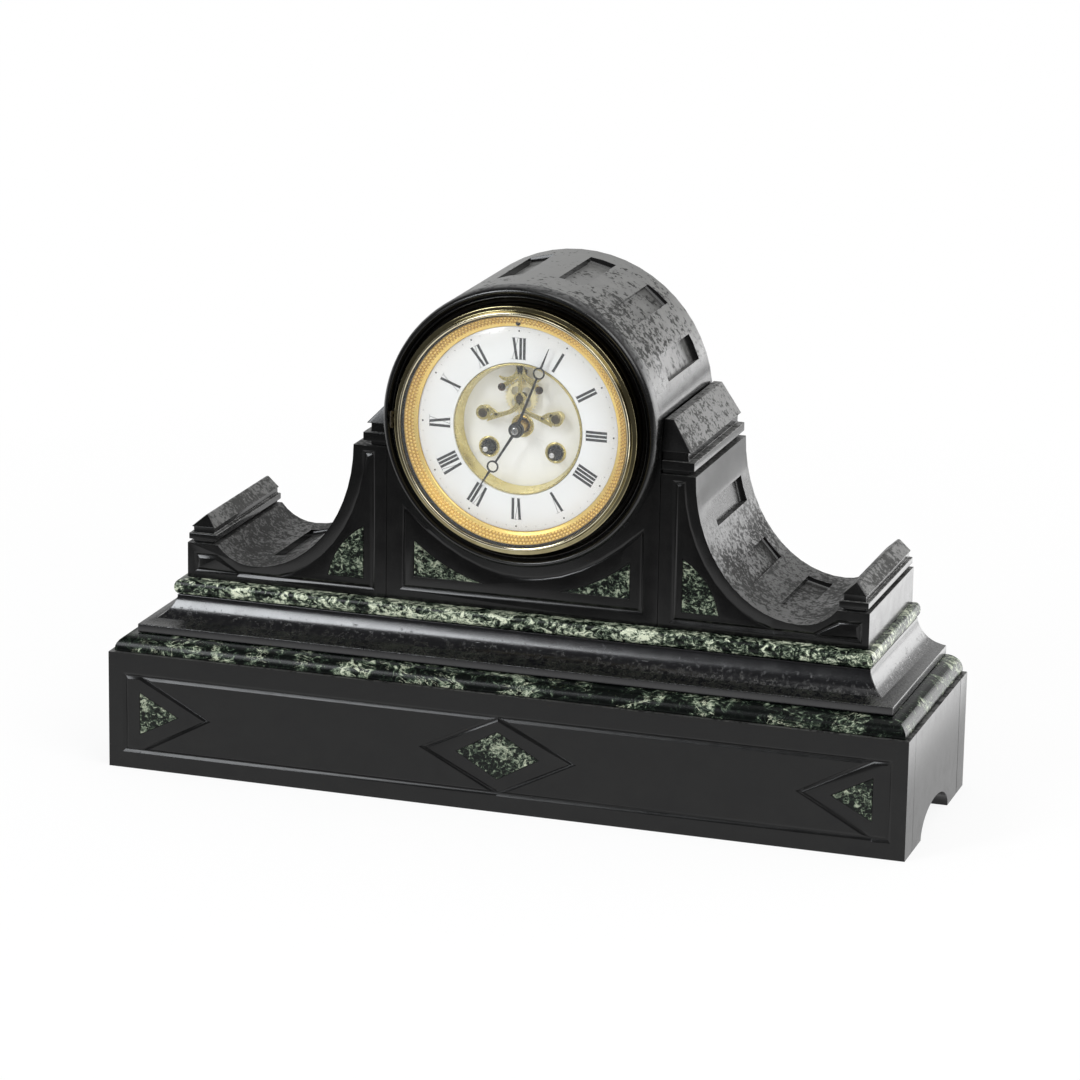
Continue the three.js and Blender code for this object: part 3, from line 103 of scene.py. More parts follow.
class Solid:
    """Gathers vertices and faces, in millimetres, for one mesh."""

    def __init__(self):
        self.verts = []
        self.faces = []

    def add(self, verts, faces):
        start = len(self.verts)
        self.verts.extend(verts)
        self.faces.extend([tuple(start + i for i in face) for face in faces])

    def lathe(self, profile, sides, centre=(0.0, 0.0), closed=True):
        """Profile of (radius, y) turned about a line along Y through centre (x, z)."""
        count = len(profile)
        verts = []
        for k in range(sides):
            angle = TAU * k / sides
            c, s = math.cos(angle), math.sin(angle)
            verts += [(centre[0] + r * c, y, DIAL_Z + centre[1] + r * s) for r, y in profile]
        faces = []
        last = count if closed else count - 1
        for k in range(sides):
            a, b = k * count, ((k + 1) % sides) * count
            for i in range(last):
                j = (i + 1) % count
                faces.append((a + i, a + j, b + j, b + i))
        self.add(verts, faces)

    def plate(self, outline, y0, y1, bevel=0.0):
        """Outline of (x, z) about the dial centre, between two depths, with a front chamfer if asked."""
        count = len(outline)
        levels = [(outline, y1)]
        if bevel > 0:
            levels += [(outline, y0 + bevel), (inset(outline, bevel), y0)]
        else:
            levels += [(outline, y0)]
        verts = [(x, y, DIAL_Z + z) for points, y in levels for x, z in points]
        faces = []
        for level in range(len(levels) - 1):
            a, b = level * count, (level + 1) * count
            for i in range(count):
                j = (i + 1) % count
                faces.append((a + i, a + j, b + j, b + i))
        faces.append(tuple(range(count)))
        top = (len(levels) - 1) * count
        faces.append(tuple(range(top, top + count)))
        self.add(verts, faces)

    def box(self, x, y, z):
        """Box between pairs of (low, high)."""
        verts = [(a, b, c) for a in x for b in y for c in z]
        self.add(verts, [(0, 1, 3, 2), (4, 6, 7, 5), (0, 4, 5, 1), (2, 3, 7, 6), (0, 2, 6, 4),
                         (1, 5, 7, 3)])

    def dome(self, centre, normal, radius, height, sides=6):
        """Small raised bead on a surface."""
        n = Vector(normal).normalized()
        u = n.orthogonal().normalized()
        v = n.cross(u)
        c = Vector(centre)
        verts = []
        for share, lift in DOME_RINGS:
            for k in range(sides):
                angle = TAU * k / sides
                outward = u * math.cos(angle) + v * math.sin(angle)
                verts.append(tuple(c + outward * radius * share + n * height * lift))
        verts.append(tuple(c + n * height))
        faces = [(k, (k + 1) % sides, sides + (k + 1) % sides, sides + k) for k in range(sides)]
        faces += [(sides + k, sides + (k + 1) % sides, 2 * sides) for k in range(sides)]
        self.add(verts, faces)

    def object(self, name, sharp=SHARP, smooth=True):
        """Object with joined points, outward faces and smooth shading up to the sharp angle."""
        mesh = bpy.data.meshes.new(name)
        mesh.from_pydata([Vector(v) * MM for v in self.verts], [], self.faces)
        work = bmesh.new()
        work.from_mesh(mesh)
        bmesh.ops.remove_doubles(work, verts=work.verts, dist=WELD_DISTANCE)
        bmesh.ops.recalc_face_normals(work, faces=work.faces)
        work.to_mesh(mesh)
        work.free()
        if smooth:
            mesh.shade_smooth()
            mesh.set_sharp_from_angle(angle=math.radians(sharp))
        made = bpy.data.objects.new(name, mesh)
        bpy.context.scene.collection.objects.link(made)
        return made


def inset(points, distance):
    """Outline moved inwards, with mitred corners, for an outline given anticlockwise."""
    count = len(points)
    moved = []
    for i in range(count):
        x, z = points[i]
        px, pz = points[i - 1]
        nx, nz = points[(i + 1) % count]
        a = Vector((x - px, z - pz)).normalized()
        b = Vector((nx - x, nz - z)).normalized()
        m = Vector((-a.y, a.x)) + Vector((-b.y, b.x))
        scale = distance / max(MITRE_LIMIT, 1 + a.dot(b))
        moved.append((x + m.x * scale, z + m.y * scale))
    return moved


def smooth_profile(points, steps):
    """Catmull-Rom curve through a list of points."""
    out = []
    for i in range(len(points) - 1):
        p0 = points[max(i - 1, 0)]
        p1, p2 = points[i], points[i + 1]
        p3 = points[min(i + 2, len(points) - 1)]
        for k in range(steps):
            t = k / steps
            point = []
            for a, b, c, d in zip(p0, p1, p2, p3):
                bend = (2 * a - 5 * b + 4 * c - d) * t * t
                twist = (3 * b - a - 3 * c + d) * t ** 3
                point.append(0.5 * (2 * b + (c - a) * t + bend + twist))
            out.append(tuple(point))
    out.append(tuple(points[-1]))
    return out


def place(obj, body, slot, material, *replaced):
    """Gives a piece its finish and the body it rides on, and hides the solids it stands for."""
    obj.data.materials.clear()
    obj.data.materials.append(material)
    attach(obj, body)
    if replaced:
        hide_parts(*replaced)


# Materials

class Look:
    """A Principled material with helpers for its procedural nodes."""

    def __init__(self, name, **values):
        self.material = bpy.data.materials.new(name)
        self.material.use_nodes = True
        self.tree = self.material.node_tree
        self.bsdf = self.tree.nodes["Principled BSDF"]
        self.coords = self.tree.nodes.new("ShaderNodeTexCoord")
        for key, value in values.items():
            self.bsdf.inputs[key.replace("_", " ")].default_value = value

    def node(self, kind, **values):
        made = self.tree.nodes.new(kind)
        for key, value in values.items():
            if key in made.inputs:
                made.inputs[key].default_value = value
            else:
                setattr(made, key, value)
        return made

    def link(self, source, target):
        self.tree.links.new(source, target)

    def noise(self, scale, detail, rough, distortion=0.0, stretch=(1, 1, 1)):
        """Noise in object space, with its scale in cells per metre."""
        made = self.node("ShaderNodeTexNoise", Scale=scale, Detail=detail, Roughness=rough,
                         Distortion=distortion)
        mapping = self.node("ShaderNodeMapping")
        mapping.inputs["Scale"].default_value = stretch
        self.link(self.coords.outputs["Object"], mapping.inputs["Vector"])
        self.link(mapping.outputs["Vector"], made.inputs["Vector"])
        return made.outputs["Fac"]

    def ramp(self, source, low, high, first=0.0, last=1.0):
        """Source taken from low..high to first..last, held at both ends."""
        made = self.node("ShaderNodeMapRange")
        made.inputs["From Min"].default_value = low
        made.inputs["From Max"].default_value = high
        made.inputs["To Min"].default_value = first
        made.inputs["To Max"].default_value = last
        self.link(source, made.inputs["Value"])
        return made.outputs["Result"]

    def maths(self, operation, a, b):
        made = self.node("ShaderNodeMath", operation=operation)
        for socket, value in zip(made.inputs, (a, b)):
            if isinstance(value, (int, float)):
                socket.default_value = value
            else:
                self.link(value, socket)
        return made.outputs["Value"]

    def blend(self, factor, a, b):
        """Mix of two colours, each a tuple or a socket."""
        made = self.node("ShaderNodeMix", data_type="RGBA")
        self.link(factor, made.inputs["Factor"])
        for socket, value in zip(("A", "B"), (a, b)):
            target = [s for s in made.inputs if s.name == socket and s.type == "RGBA"][0]
            if isinstance(value, tuple):
                target.default_value = (*value, 1.0)
            else:
                self.link(value, target)
        return [s for s in made.outputs if s.type == "RGBA"][0]

    def between(self, factor, a, b):
        """Mix of two numbers that come from sockets."""
        made = self.node("ShaderNodeMix", data_type="FLOAT")
        for index, source in ((0, factor), (2, a), (3, b)):
            self.link(source, made.inputs[index])
        return made.outputs[0]

    def part(self, output, axis):
        """One axis of the normal or of the place in object space."""
        parts = self.node("ShaderNodeSeparateXYZ")
        self.link(self.coords.outputs[output], parts.inputs["Vector"])
        return parts.outputs[axis]

    def colour(self, source):
        self.link(source, self.bsdf.inputs["Base Color"])

    def rough(self, source):
        self.link(source, self.bsdf.inputs["Roughness"])

    def bump(self, source, strength, distance):
        made = self.node("ShaderNodeBump", Strength=strength, Distance=distance)
        self.link(source, made.inputs["Height"])
        self.link(made.outputs["Normal"], self.bsdf.inputs["Normal"])


def slate_look(name, shade, gloss, shine, top_wear_and_light=0.05, decay=0.0, speck=430, depth=0.8, lean=0.0):
    """Black slate: polished uprights, and up-facing tops in a lighter colour, blotched with dark pits where
    the polish has gone.

    shade, gloss and shine are the colour, roughness and specular level of the polish, and top_wear_and_light
    is the colour of the tops, a worn duller finish made lighter as painted light from above. decay spreads
    the pits, speck is their scale, depth darkens them, and lean spares the faces that don't look to the
    right.
    """
    look = Look(name, Metallic=0.0, IOR=1.5, Specular_IOR_Level=shine)
    broad = look.noise(21, 3, 0.5)
    cloud = look.noise(95, 5, 0.62)
    blotch = look.noise(speck * 0.4, 4, 0.6)
    fine = look.noise(speck, 4, 0.62, 0.2, (1, 0.8, 1))
    grain = look.noise(1700, 2, 0.5)
    upward = look.part("Normal", "Z")
    turned_away = look.ramp(look.maths("ABSOLUTE", look.part("Normal", "Y"), 0.0), 0.65, 0.3)
    top = look.maths("MULTIPLY", look.ramp(upward, 0.2, 0.55), turned_away)
    spread = look.maths("ADD", look.maths("MULTIPLY", fine, 0.55), look.maths("MULTIPLY", blotch, 0.45))
    limit = look.ramp(broad, 0.38, 0.62, 0.58 - decay, 0.485 - decay)
    spared = look.ramp(look.part("Normal", "X"), 0.0, 0.5, lean, 0.0)
    limit = look.maths("ADD", limit, spared)
    pits = look.maths("MULTIPLY", look.ramp(look.maths("SUBTRACT", spread, limit), -0.02, 0.05), top)
    face = look.blend(look.ramp(cloud, 0.3, 0.7), (shade * 0.75, shade * 0.75, shade * 0.78),
                      (shade * 1.3, shade * 1.3, shade * 1.26))
    # Colour of the tops, lighter than the polish: painted light from above over a real worn finish.
    lit_worn_top = look.blend(look.ramp(cloud, 0.35, 0.65), (top_wear_and_light * 0.8, top_wear_and_light * 0.8, top_wear_and_light * 0.77),
                       (top_wear_and_light * 1.25, top_wear_and_light * 1.25, top_wear_and_light * 1.2))
    pit_shade = top_wear_and_light * (1 - depth)
    worn = (pit_shade, pit_shade, pit_shade * 0.95)
    look.colour(look.blend(pits, look.blend(top, face, lit_worn_top), worn))
    polished = look.ramp(cloud, 0.3, 0.7, gloss - 0.03, gloss + 0.05)
    dulled = look.ramp(cloud, 0.3, 0.7, 0.36, 0.48)
    finish = look.between(top, polished, dulled)
    look.rough(look.maths("ADD", finish, look.maths("MULTIPLY", pits, 0.35)))
    look.bump(look.maths("SUBTRACT", look.maths("MULTIPLY", grain, 0.35), pits), 0.14, 0.0002)
    return look.material


def hollow_look(name):
    """Polished black slate of the hollow moulding, pitted along its foot."""
    look = Look(name, Metallic=0.0, IOR=1.5, Specular_IOR_Level=0.85)
    fine = look.noise(380, 4, 0.66)
    cloud = look.noise(90, 4, 0.6)
    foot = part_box("cavetto_moulding")[0].z
    rise = look.ramp(look.part("Object", "Z"), foot + 4 * MM, foot + 14 * MM, 0.09, -0.14)
    ledge = look.ramp(look.part("Normal", "Z"), 0.3, 0.65)
    pits = look.maths("MULTIPLY", look.ramp(look.maths("ADD", fine, rise), 0.5, 0.58), ledge)
    look.colour(look.blend(pits, (0.003, 0.003, 0.004), (0.009, 0.009, 0.008)))
    polished = look.ramp(cloud, 0.3, 0.7, 0.15, 0.21)
    look.rough(look.maths("ADD", polished, look.maths("MULTIPLY", pits, 0.1)))
    look.bump(pits, 0.2, 0.0003)
    return look.material


def marble_look(name, lightness, patch, shift=0.0, size=300, fleck=1.0):
    """Near black green marble with clusters of pale green flecks and a few cream veins.

    lightness adds flecks, patch gathers them into clusters, shift changes the pattern, size is its scale and
    fleck the brightness of the palest spots.
    """
    look = Look(name, Metallic=0.0, IOR=1.5, Specular_IOR_Level=0.2)
    mottle = look.noise(size + shift, 6, 0.76, 0.8, (0.8, 1, 1))
    broad = look.noise(42 + shift, 3, 0.5, 0.5)
    drift = look.noise(70 + shift, 4, 0.6, 2.2, (0.5, 1, 1))
    spots = look.maths("MULTIPLY", mottle, 1 - patch)
    clusters = look.maths("MULTIPLY", broad, patch)
    lift = look.maths("ADD", look.maths("ADD", spots, clusters), lightness)
    dark = look.blend(look.ramp(lift, 0.45, 0.51), (0.002, 0.003, 0.0025), (0.016, 0.026, 0.017))
    pale = look.blend(look.ramp(lift, 0.515, 0.545), dark, (0.17, 0.215, 0.15))
    bright = look.blend(look.ramp(lift, 0.55, 0.59), pale, (0.66 * fleck, 0.7 * fleck, 0.54 * fleck))
    vein = look.ramp(look.maths("ABSOLUTE", look.maths("SUBTRACT", drift, 0.5), 0.0), 0.014, 0.003)
    cream = look.maths("MULTIPLY", vein, look.ramp(broad, 0.48, 0.58))
    look.colour(look.blend(cream, bright, (0.5, 0.54, 0.4)))
    look.rough(look.ramp(lift, 0.3, 0.7, 0.22, 0.34))
    look.bump(mottle, 0.05, 0.0002)
    return look.material


def metal_look(name, colour, dull, low, high, metal=1.0):
    """Metal stained from colour to dull, with a fine grain and a roughness between low and high."""
    look = Look(name, Metallic=metal)
    stain = look.noise(75, 5, 0.6)
    grain = look.noise(1200, 3, 0.5)
    look.colour(look.blend(look.ramp(stain, 0.35, 0.7), colour, dull))
    wear = look.maths("ADD", look.maths("MULTIPLY", stain, 0.6), look.maths("MULTIPLY", grain, 0.4))
    look.rough(look.ramp(wear, 0.3, 0.7, low, high))
    look.bump(grain, 0.04, 0.0001)
    return look.material


def enamel_look(name, colour, warm):
    """Fired enamel under a clear gloss, with faint clouds and waves."""
    look = Look(name, Metallic=0.0, Coat_Weight=0.5, Coat_Roughness=0.05)
    cloud = look.noise(45, 4, 0.55)
    look.colour(look.blend(look.ramp(cloud, 0.35, 0.7), colour, warm))
    look.rough(look.ramp(cloud, 0.3, 0.7, 0.16, 0.24))
    look.bump(look.noise(160, 3, 0.5), 0.02, 0.0002)
    return look.material


def ink_look(name):
    """Black dial paint, thin in places."""
    look = Look(name, Metallic=0.0)
    wear = look.noise(900, 4, 0.6)
    look.colour(look.blend(look.ramp(wear, 0.4, 0.75), (0.012, 0.013, 0.016), (0.05, 0.052, 0.058)))
    look.rough(look.ramp(wear, 0.3, 0.7, 0.3, 0.5))
    return look.material


def glass_look(name):
    """Clear thin glass with faint smears."""
    look = Look(name, Metallic=0.0, Alpha=0.045, IOR=1.45)
    smear = look.noise(30, 3, 0.5)
    look.colour(look.blend(look.ramp(smear, 0.3, 0.7), (0.9, 0.93, 0.92), (0.97, 0.98, 0.97)))
    look.rough(look.ramp(smear, 0.3, 0.7, 0.02, 0.05))
    return look.material


def shadow_look(name):
    """Painted shade: flat black with no shine, put in the unlit hollow behind a hole."""
    look = Look(name, Metallic=0.0, Specular_IOR_Level=0.0)
    dust = look.noise(600, 3, 0.5)
    look.colour(look.blend(look.ramp(dust, 0.4, 0.8), (0.002, 0.002, 0.002), (0.008, 0.007, 0.006)))
    look.rough(look.ramp(dust, 0.3, 0.7, 0.7, 0.9))
    return look.material


POLISH = {"shade": 0.004, "gloss": 0.16, "shine": 0.42}
# Body, wing and cap slate differ in the colour of their tops, lightest on the body: painted light.
SLATE_BODY = slate_look("slate_body", **POLISH, top_wear_and_light=0.125, lean=0.07)
SLATE_WING = slate_look("slate_wing", **POLISH, top_wear_and_light=0.042, decay=0.04, speck=640, depth=0.6)
SLATE_CAP = slate_look("slate_cap", **POLISH, top_wear_and_light=0.1, decay=0.045, speck=560, depth=0.6)
SLATE_PLINTH = slate_look("slate_plinth", shade=0.006, gloss=0.2, shine=0.3)
SLATE_RING = slate_look("slate_ring", shade=0.002, gloss=0.24, shine=0.75, top_wear_and_light=0.004)
SLATE_HOLLOW = hollow_look("slate_hollow")
MARBLE_LOWER = marble_look("marble_lower", lightness=-0.03, patch=0.32, shift=5, size=240, fleck=0.8)
MARBLE_UPPER = marble_look("marble_upper", lightness=0.022, patch=0.22, shift=12)
MARBLE_INLAY = marble_look("marble_inlay", lightness=0.002, patch=0.2, shift=40, size=400, fleck=0.5)
BRASS = metal_look("brass", (0.72, 0.53, 0.22), (0.5, 0.36, 0.14), 0.18, 0.34)
REAR_BRASS = metal_look("rear_brass", (0.36, 0.26, 0.105), (0.22, 0.155, 0.06), 0.42, 0.56)
# Bezel brass darkened as painted shade, and its rim in pale cream brass as a painted highlight.
BEZEL_BRASS_SHADED = metal_look("bezel_brass_painted_shade", (0.36, 0.32, 0.19), (0.26, 0.22, 0.12), 0.1, 0.2)
RIM_BRASS_LIT = metal_look("rim_brass_painted_highlight", (0.8, 0.74, 0.55), (0.68, 0.6, 0.42), 0.1, 0.2)
PATINA = metal_look("brown_brass", (0.16, 0.12, 0.06), (0.09, 0.07, 0.04), 0.3, 0.5)
GILT = metal_look("gilt", (0.98, 0.74, 0.22), (0.95, 0.66, 0.16), 0.3, 0.42, metal=0.65)
# Darker gilt for the cone under the beads: painted shade in the gaps between them.
GILT_SHADED = metal_look("gilt_painted_shade", (0.68, 0.42, 0.08), (0.58, 0.34, 0.06), 0.42, 0.55, metal=0.7)
GILT_PALE = metal_look("gilt_pale", (0.82, 0.71, 0.33), (0.66, 0.55, 0.2), 0.2, 0.34, metal=0.75)
GILT_LIGHT = metal_look("gilt_light", (0.93, 0.85, 0.55), (0.84, 0.74, 0.4), 0.3, 0.45, metal=0.35)
DARK_BRASS = metal_look("dark_brass", (0.08, 0.062, 0.035), (0.05, 0.04, 0.024), 0.3, 0.5)
BRIGHT_STEEL = metal_look("bright_steel", (0.8, 0.8, 0.8), (0.64, 0.64, 0.65), 0.25, 0.4, metal=0.6)
STEEL = metal_look("steel", (0.56, 0.56, 0.57), (0.4, 0.4, 0.42), 0.2, 0.36)
BLUED = metal_look("blued_steel", (0.05, 0.052, 0.058), (0.025, 0.025, 0.03), 0.25, 0.4)
JEWEL = metal_look("dark_jewel", (0.09, 0.045, 0.02), (0.03, 0.016, 0.01), 0.15, 0.3)
ENAMEL = enamel_look("enamel", (0.84, 0.85, 0.85), (0.8, 0.81, 0.8))
# Paler enamel for the sunk centre: painted light against the shade it sits in.
ENAMEL_CENTRE_LIT = enamel_look("enamel_centre_painted_light", (0.93, 0.93, 0.9), (0.88, 0.88, 0.84))
INK = ink_look("dial_ink")
GLASS = glass_look("clear_glass")
# Flat black for holes: painted shade.
PAINTED_SHADE = shadow_look("painted_shade_hollow")


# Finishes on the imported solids

SLOT_LOOKS = {"slate": SLATE_BODY, "marble": MARBLE_UPPER, "brass": BRASS, "gilt": GILT, "steel": STEEL,
              "blued_steel": BLUED, "enamel": ENAMEL, "glass": GLASS}
NODE_LOOKS = {"dial_centre": ENAMEL_CENTRE_LIT, "dial_inner_ring": GILT_PALE, "cavetto_moulding": SLATE_HOLLOW,
              "lower_marble_slab": MARBLE_LOWER, "dial_mount_ring": DARK_BRASS, "pallets": GILT_PALE,
              # The winding arbors take the near black blued steel as painted shade down their holes.
              "escape_wheel": GILT_LIGHT, "going_winding_arbor": BLUED, "strike_winding_arbor": BLUED}
STONE_BEVEL = 0.45 * MM
INLAY_BEVEL = STONE_BEVEL / 3
STONE_EDGE = math.radians(38)


def finish_of(name, slot):
    """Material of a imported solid."""
    if "inlay" in name:
        return MARBLE_INLAY
    if "_cap_" in name:
        return SLATE_CAP
    if name.startswith("wing_"):
        return SLATE_WING
    if name.startswith("plinth"):
        return SLATE_PLINTH
    return NODE_LOOKS.get(name, SLOT_LOOKS[slot])


def dress(name, slot):
    """Material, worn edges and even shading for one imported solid."""
    solid = nodes[name]
    solid.data.materials.clear()
    solid.data.materials.append(finish_of(name, slot))
    solid.data.polygons.foreach_set("use_smooth", [True] * len(solid.data.polygons))
    weld = solid.modifiers.new("weld", "WELD")
    weld.merge_threshold = SOLID_WELD
    if slot in ("slate", "marble"):
        bevel = solid.modifiers.new("worn_edges", "BEVEL")
        bevel.width = INLAY_BEVEL if "inlay" in name else STONE_BEVEL
        bevel.segments = 2
        bevel.limit_method = "ANGLE"
        bevel.angle_limit = STONE_EDGE
        bevel.use_clamp_overlap = True
    even = solid.modifiers.new("even_normals", "WEIGHTED_NORMAL")
    even.keep_sharp = True
    even.weight = 80


for part in frame["record"]["subparts"]:
    dress(part["node"], part["material_slot"])


# Turned black ring round the bezel

def drum_ring():
    """Cove and roll, given in shares of the ring's width and of its height off the drum."""
    face = RING_HIGH.y
    width = RING_OUTER - RING_BORE
    proud = face - RING_LOW.y

    def at(share, height):
        return RING_BORE + share * width, face - height * proud

    cove = smooth_profile([at(0, 0.44), at(0.1, 0.45), at(0.18, 0.48), at(0.24, 0.58), at(0.28, 0.72),
                           at(0.33, 0.79), at(0.38, 0.77), at(0.42, 0.68)], 5)
    roll = smooth_profile([at(0.43, 0.68), at(0.48, 0.8), at(0.57, 0.93), at(0.7, 1.0), at(0.84, 0.94),
                           at(0.95, 0.79), at(1.0, 0.58)], 6)
    ring = Solid()
    ring.lathe([at(0, 0), *cove, *roll, at(1, 0)], RING_SIDES)
    place(ring.object("drum_ring_turned", SHARP_ROLL), "case", "slate", SLATE_RING, "drum_ring")


# Hinged bezel with its glass

HINGE_X = -(BEZEL_RADIUS + 1.5)
HINGE_RADIUS = 1.2
KNUCKLE_HALF = 1.5
KNUCKLE_OVERLAP = 0.8
BEZEL_FLAT = BEZEL_FRONT + 3.4
HINGE_Y = BEZEL_FLAT + HINGE_RADIUS + 0.2
BEZEL_BORE = BEZEL_RADIUS - 3.4
BEZEL_SEAT = BEZEL_FRONT + 0.8
LIP_RADIUS = SLIP_RADIUS + 1.0
RIM_WIDTH, RIM_THICKNESS = 1.6, 0.1
GLASS_RADIUS = BEZEL_BORE - 0.3
GLASS_EDGE = BEZEL_SEAT + 0.6
GLASS_DOME, GLASS_THICKNESS, GLASS_STEPS = 5.6, 1.8, 18


def upright_rod(solid, x, y, radius, half):
    """Round bar along Z, half its length above and half below the dial centre."""
    sides = SCREW_SIDES
    turns = [TAU * k / sides for k in range(sides)]
    ring = [(x + radius * math.cos(t), y + radius * math.sin(t)) for t in turns]
    verts = [(px, py, DIAL_Z + z) for z in (-half, half) for px, py in ring]
    faces = [(k, (k + 1) % sides, sides + (k + 1) % sides, sides + k) for k in range(sides)]
    faces += [tuple(range(sides)), tuple(range(sides, 2 * sides))]
    solid.add(verts, faces)


def bezel_ring():
    """Stepped brass ring, its brass darkened as painted shade, with a pale brass rim at its lip as a painted
    highlight.
    """
    lip, seat = LIP_RADIUS, BEZEL_SEAT
    rim = smooth_profile([(lip, seat), (lip + 0.05, BEZEL_FRONT + 0.35), (lip + 0.7, BEZEL_FRONT),
                          (lip + 1.3, BEZEL_FRONT + 0.15), (lip + RIM_WIDTH, seat)], 5)
    step = smooth_profile([(lip + RIM_WIDTH, seat), (lip + 1.8, seat + 1.2), (lip + 2.1, BEZEL_FLAT - 0.25),
                           (lip + 2.5, BEZEL_FLAT)], 4)
    edge = smooth_profile([(BEZEL_RADIUS - 0.8, BEZEL_FLAT), (BEZEL_RADIUS - 0.2, BEZEL_FLAT + 0.2),
                           (BEZEL_RADIUS, BEZEL_FLAT + 0.8)], 4)
    ring = Solid()
    ring.lathe([*step, *edge, (BEZEL_RADIUS, BEZEL_BACK), (BEZEL_BORE, BEZEL_BACK), (BEZEL_BORE, seat)],
               RING_SIDES)
    place(ring.object("bezel_turned", SHARP_TURNED), "bezel_door", "brass", BEZEL_BRASS_SHADED, "bezel")
    # Rim in pale cream brass: painted highlight.
    polished = Solid()
    polished.lathe([*rim, (lip + RIM_WIDTH, seat + RIM_THICKNESS), (lip, seat + RIM_THICKNESS)], RING_SIDES)
    place(polished.object("bezel_rim_painted_highlight", SHARP_TURNED), "bezel_door", "brass", RIM_BRASS_LIT)


def bezel_knuckle():
    """Hinge knuckle with the web that joins it to the bezel."""
    knuckle = Solid()
    upright_rod(knuckle, HINGE_X, HINGE_Y, HINGE_RADIUS, KNUCKLE_HALF)
    knuckle.box((HINGE_X, -BEZEL_RADIUS + KNUCKLE_OVERLAP),
                (HINGE_Y - KNUCKLE_OVERLAP, HINGE_Y + HINGE_RADIUS),
                (DIAL_Z - KNUCKLE_HALF, DIAL_Z + KNUCKLE_HALF))
    place(knuckle.object("bezel_knuckle"), "bezel_door", "brass", DARK_BRASS)


def bezel_glass():
    """Glass domed towards the front."""
    dome = []
    for k in range(GLASS_STEPS + 1):
        share = k / GLASS_STEPS
        dome.append((GLASS_RADIUS * k / GLASS_STEPS, GLASS_EDGE - GLASS_DOME * (1 - share ** 2)))
    glass = Solid()
    glass.lathe(dome + [(r, y + GLASS_THICKNESS) for r, y in reversed(dome)], GLASS_SIDES, closed=False)
    place(glass.object("glass_dome", SHARP_TURNED), "bezel_door", "glass", GLASS, "bezel_glass")


# Gilt cone round the enamel, with three rows of punched beads

BEAD_ROWS = (0.39, 0.62, 0.85)  # shares of the cone's width
BEAD_COUNT = 184
BEAD_RADIUS, BEAD_HEIGHT = 0.82, 0.7
CONE_FOOT = DIAL_FRONT - 0.3
CONE_SLOPE = (SLIP_EDGE - CONE_FOOT) / (SLIP_RADIUS - DIAL_RADIUS)
CONE_WALL = 1.2
REGULATOR_CLEARANCE = 2.2


def cone_depth(radius):
    """Y of the gilt cone at a radius."""
    return CONE_FOOT + CONE_SLOPE * (radius - DIAL_RADIUS)


def slip_ring():
    """Plain cone with a round edge at the enamel and a lip under the bezel, in darker gilt as painted shade
    between the beads.
    """
    inner, outer, foot = DIAL_RADIUS, SLIP_RADIUS, CONE_FOOT
    lip = smooth_profile([(outer - 0.9, cone_depth(outer - 0.9)), (outer - 0.6, SLIP_EDGE + 0.05),
                          (outer - 0.2, SLIP_EDGE), (outer, SLIP_EDGE + 0.5)], 4)
    edge = smooth_profile([(inner, foot), (inner + 0.25, foot - 0.6), (inner + 0.7, foot - 0.8),
                           (inner + 1.0, cone_depth(inner + 1.0))], 4)
    ring = Solid()
    ring.lathe([*edge, *lip, (outer, SLIP_BACK), (outer - CONE_WALL, SLIP_BACK),
                (outer - CONE_WALL, DIAL_FRONT - 1.2), (inner + 0.5, foot)], RING_SIDES)
    place(ring.object("slip_ring_cone", SHARP_TURNED), "case", "gilt", GILT_SHADED, "slip_ring")


def slip_ring_beads():
    """Bright fillet and rows of beads on the cone, clear of the regulator's hole."""
    inner, foot = DIAL_RADIUS, CONE_FOOT
    face = Vector((CONE_SLOPE, -1.0)).normalized()
    beads = Solid()
    beads.lathe([(inner + 0.05, foot - 0.1), (inner + 0.3, foot - 0.7), (inner + 0.75, foot - 0.95),
                 (inner + 2.0, cone_depth(inner + 2.0) - 0.12),
                 (inner + 2.1, cone_depth(inner + 2.1) + 0.05)], RING_SIDES, closed=False)
    for row, share in enumerate(BEAD_ROWS):
        radius = DIAL_RADIUS + share * (SLIP_RADIUS - DIAL_RADIUS)
        for k in range(BEAD_COUNT):
            angle = TAU * (k + 0.5 * (row % 2)) / BEAD_COUNT
            c, s = math.cos(angle), math.sin(angle)
            if s > 0 and math.hypot(radius * c, radius * s - REGULATOR_RISE) < REGULATOR_CLEARANCE:
                continue
            beads.dome((radius * c, cone_depth(radius), DIAL_Z + radius * s),
                       (face.x * c, face.y, face.x * s), BEAD_RADIUS, BEAD_HEIGHT)
    place(beads.object("slip_ring_beads", SHARP_TURNED), "case", "gilt", GILT)


def regulator_end():
    """End of the regulator in its hole, flat black as painted shade of the hole."""
    y = cone_depth(REGULATOR_RISE)
    end = Solid()
    end.lathe([(0, y - 0.5), (1.15, y - 0.5), (1.35, y - 0.2), (1.35, y + 1.0), (0, y + 1.0)], STUD_SIDES,
              (0, REGULATOR_RISE), closed=False)
    place(end.object("regulator_end"), "regulator", "steel", PAINTED_SHADE)


# Enamel, the ring round its sunk centre and the collars of the holes

ENAMEL_BORE, ENAMEL_RADIUS, ENAMEL_THICKNESS = 36.7, 57.6, 1.8
DIAL_FOOT_RING, DIAL_FOOT_RADIUS = 42, 1.2
DIAL_FOOT_ANGLES = (30, 150, 270)
WELL_RADIUS = 36.4


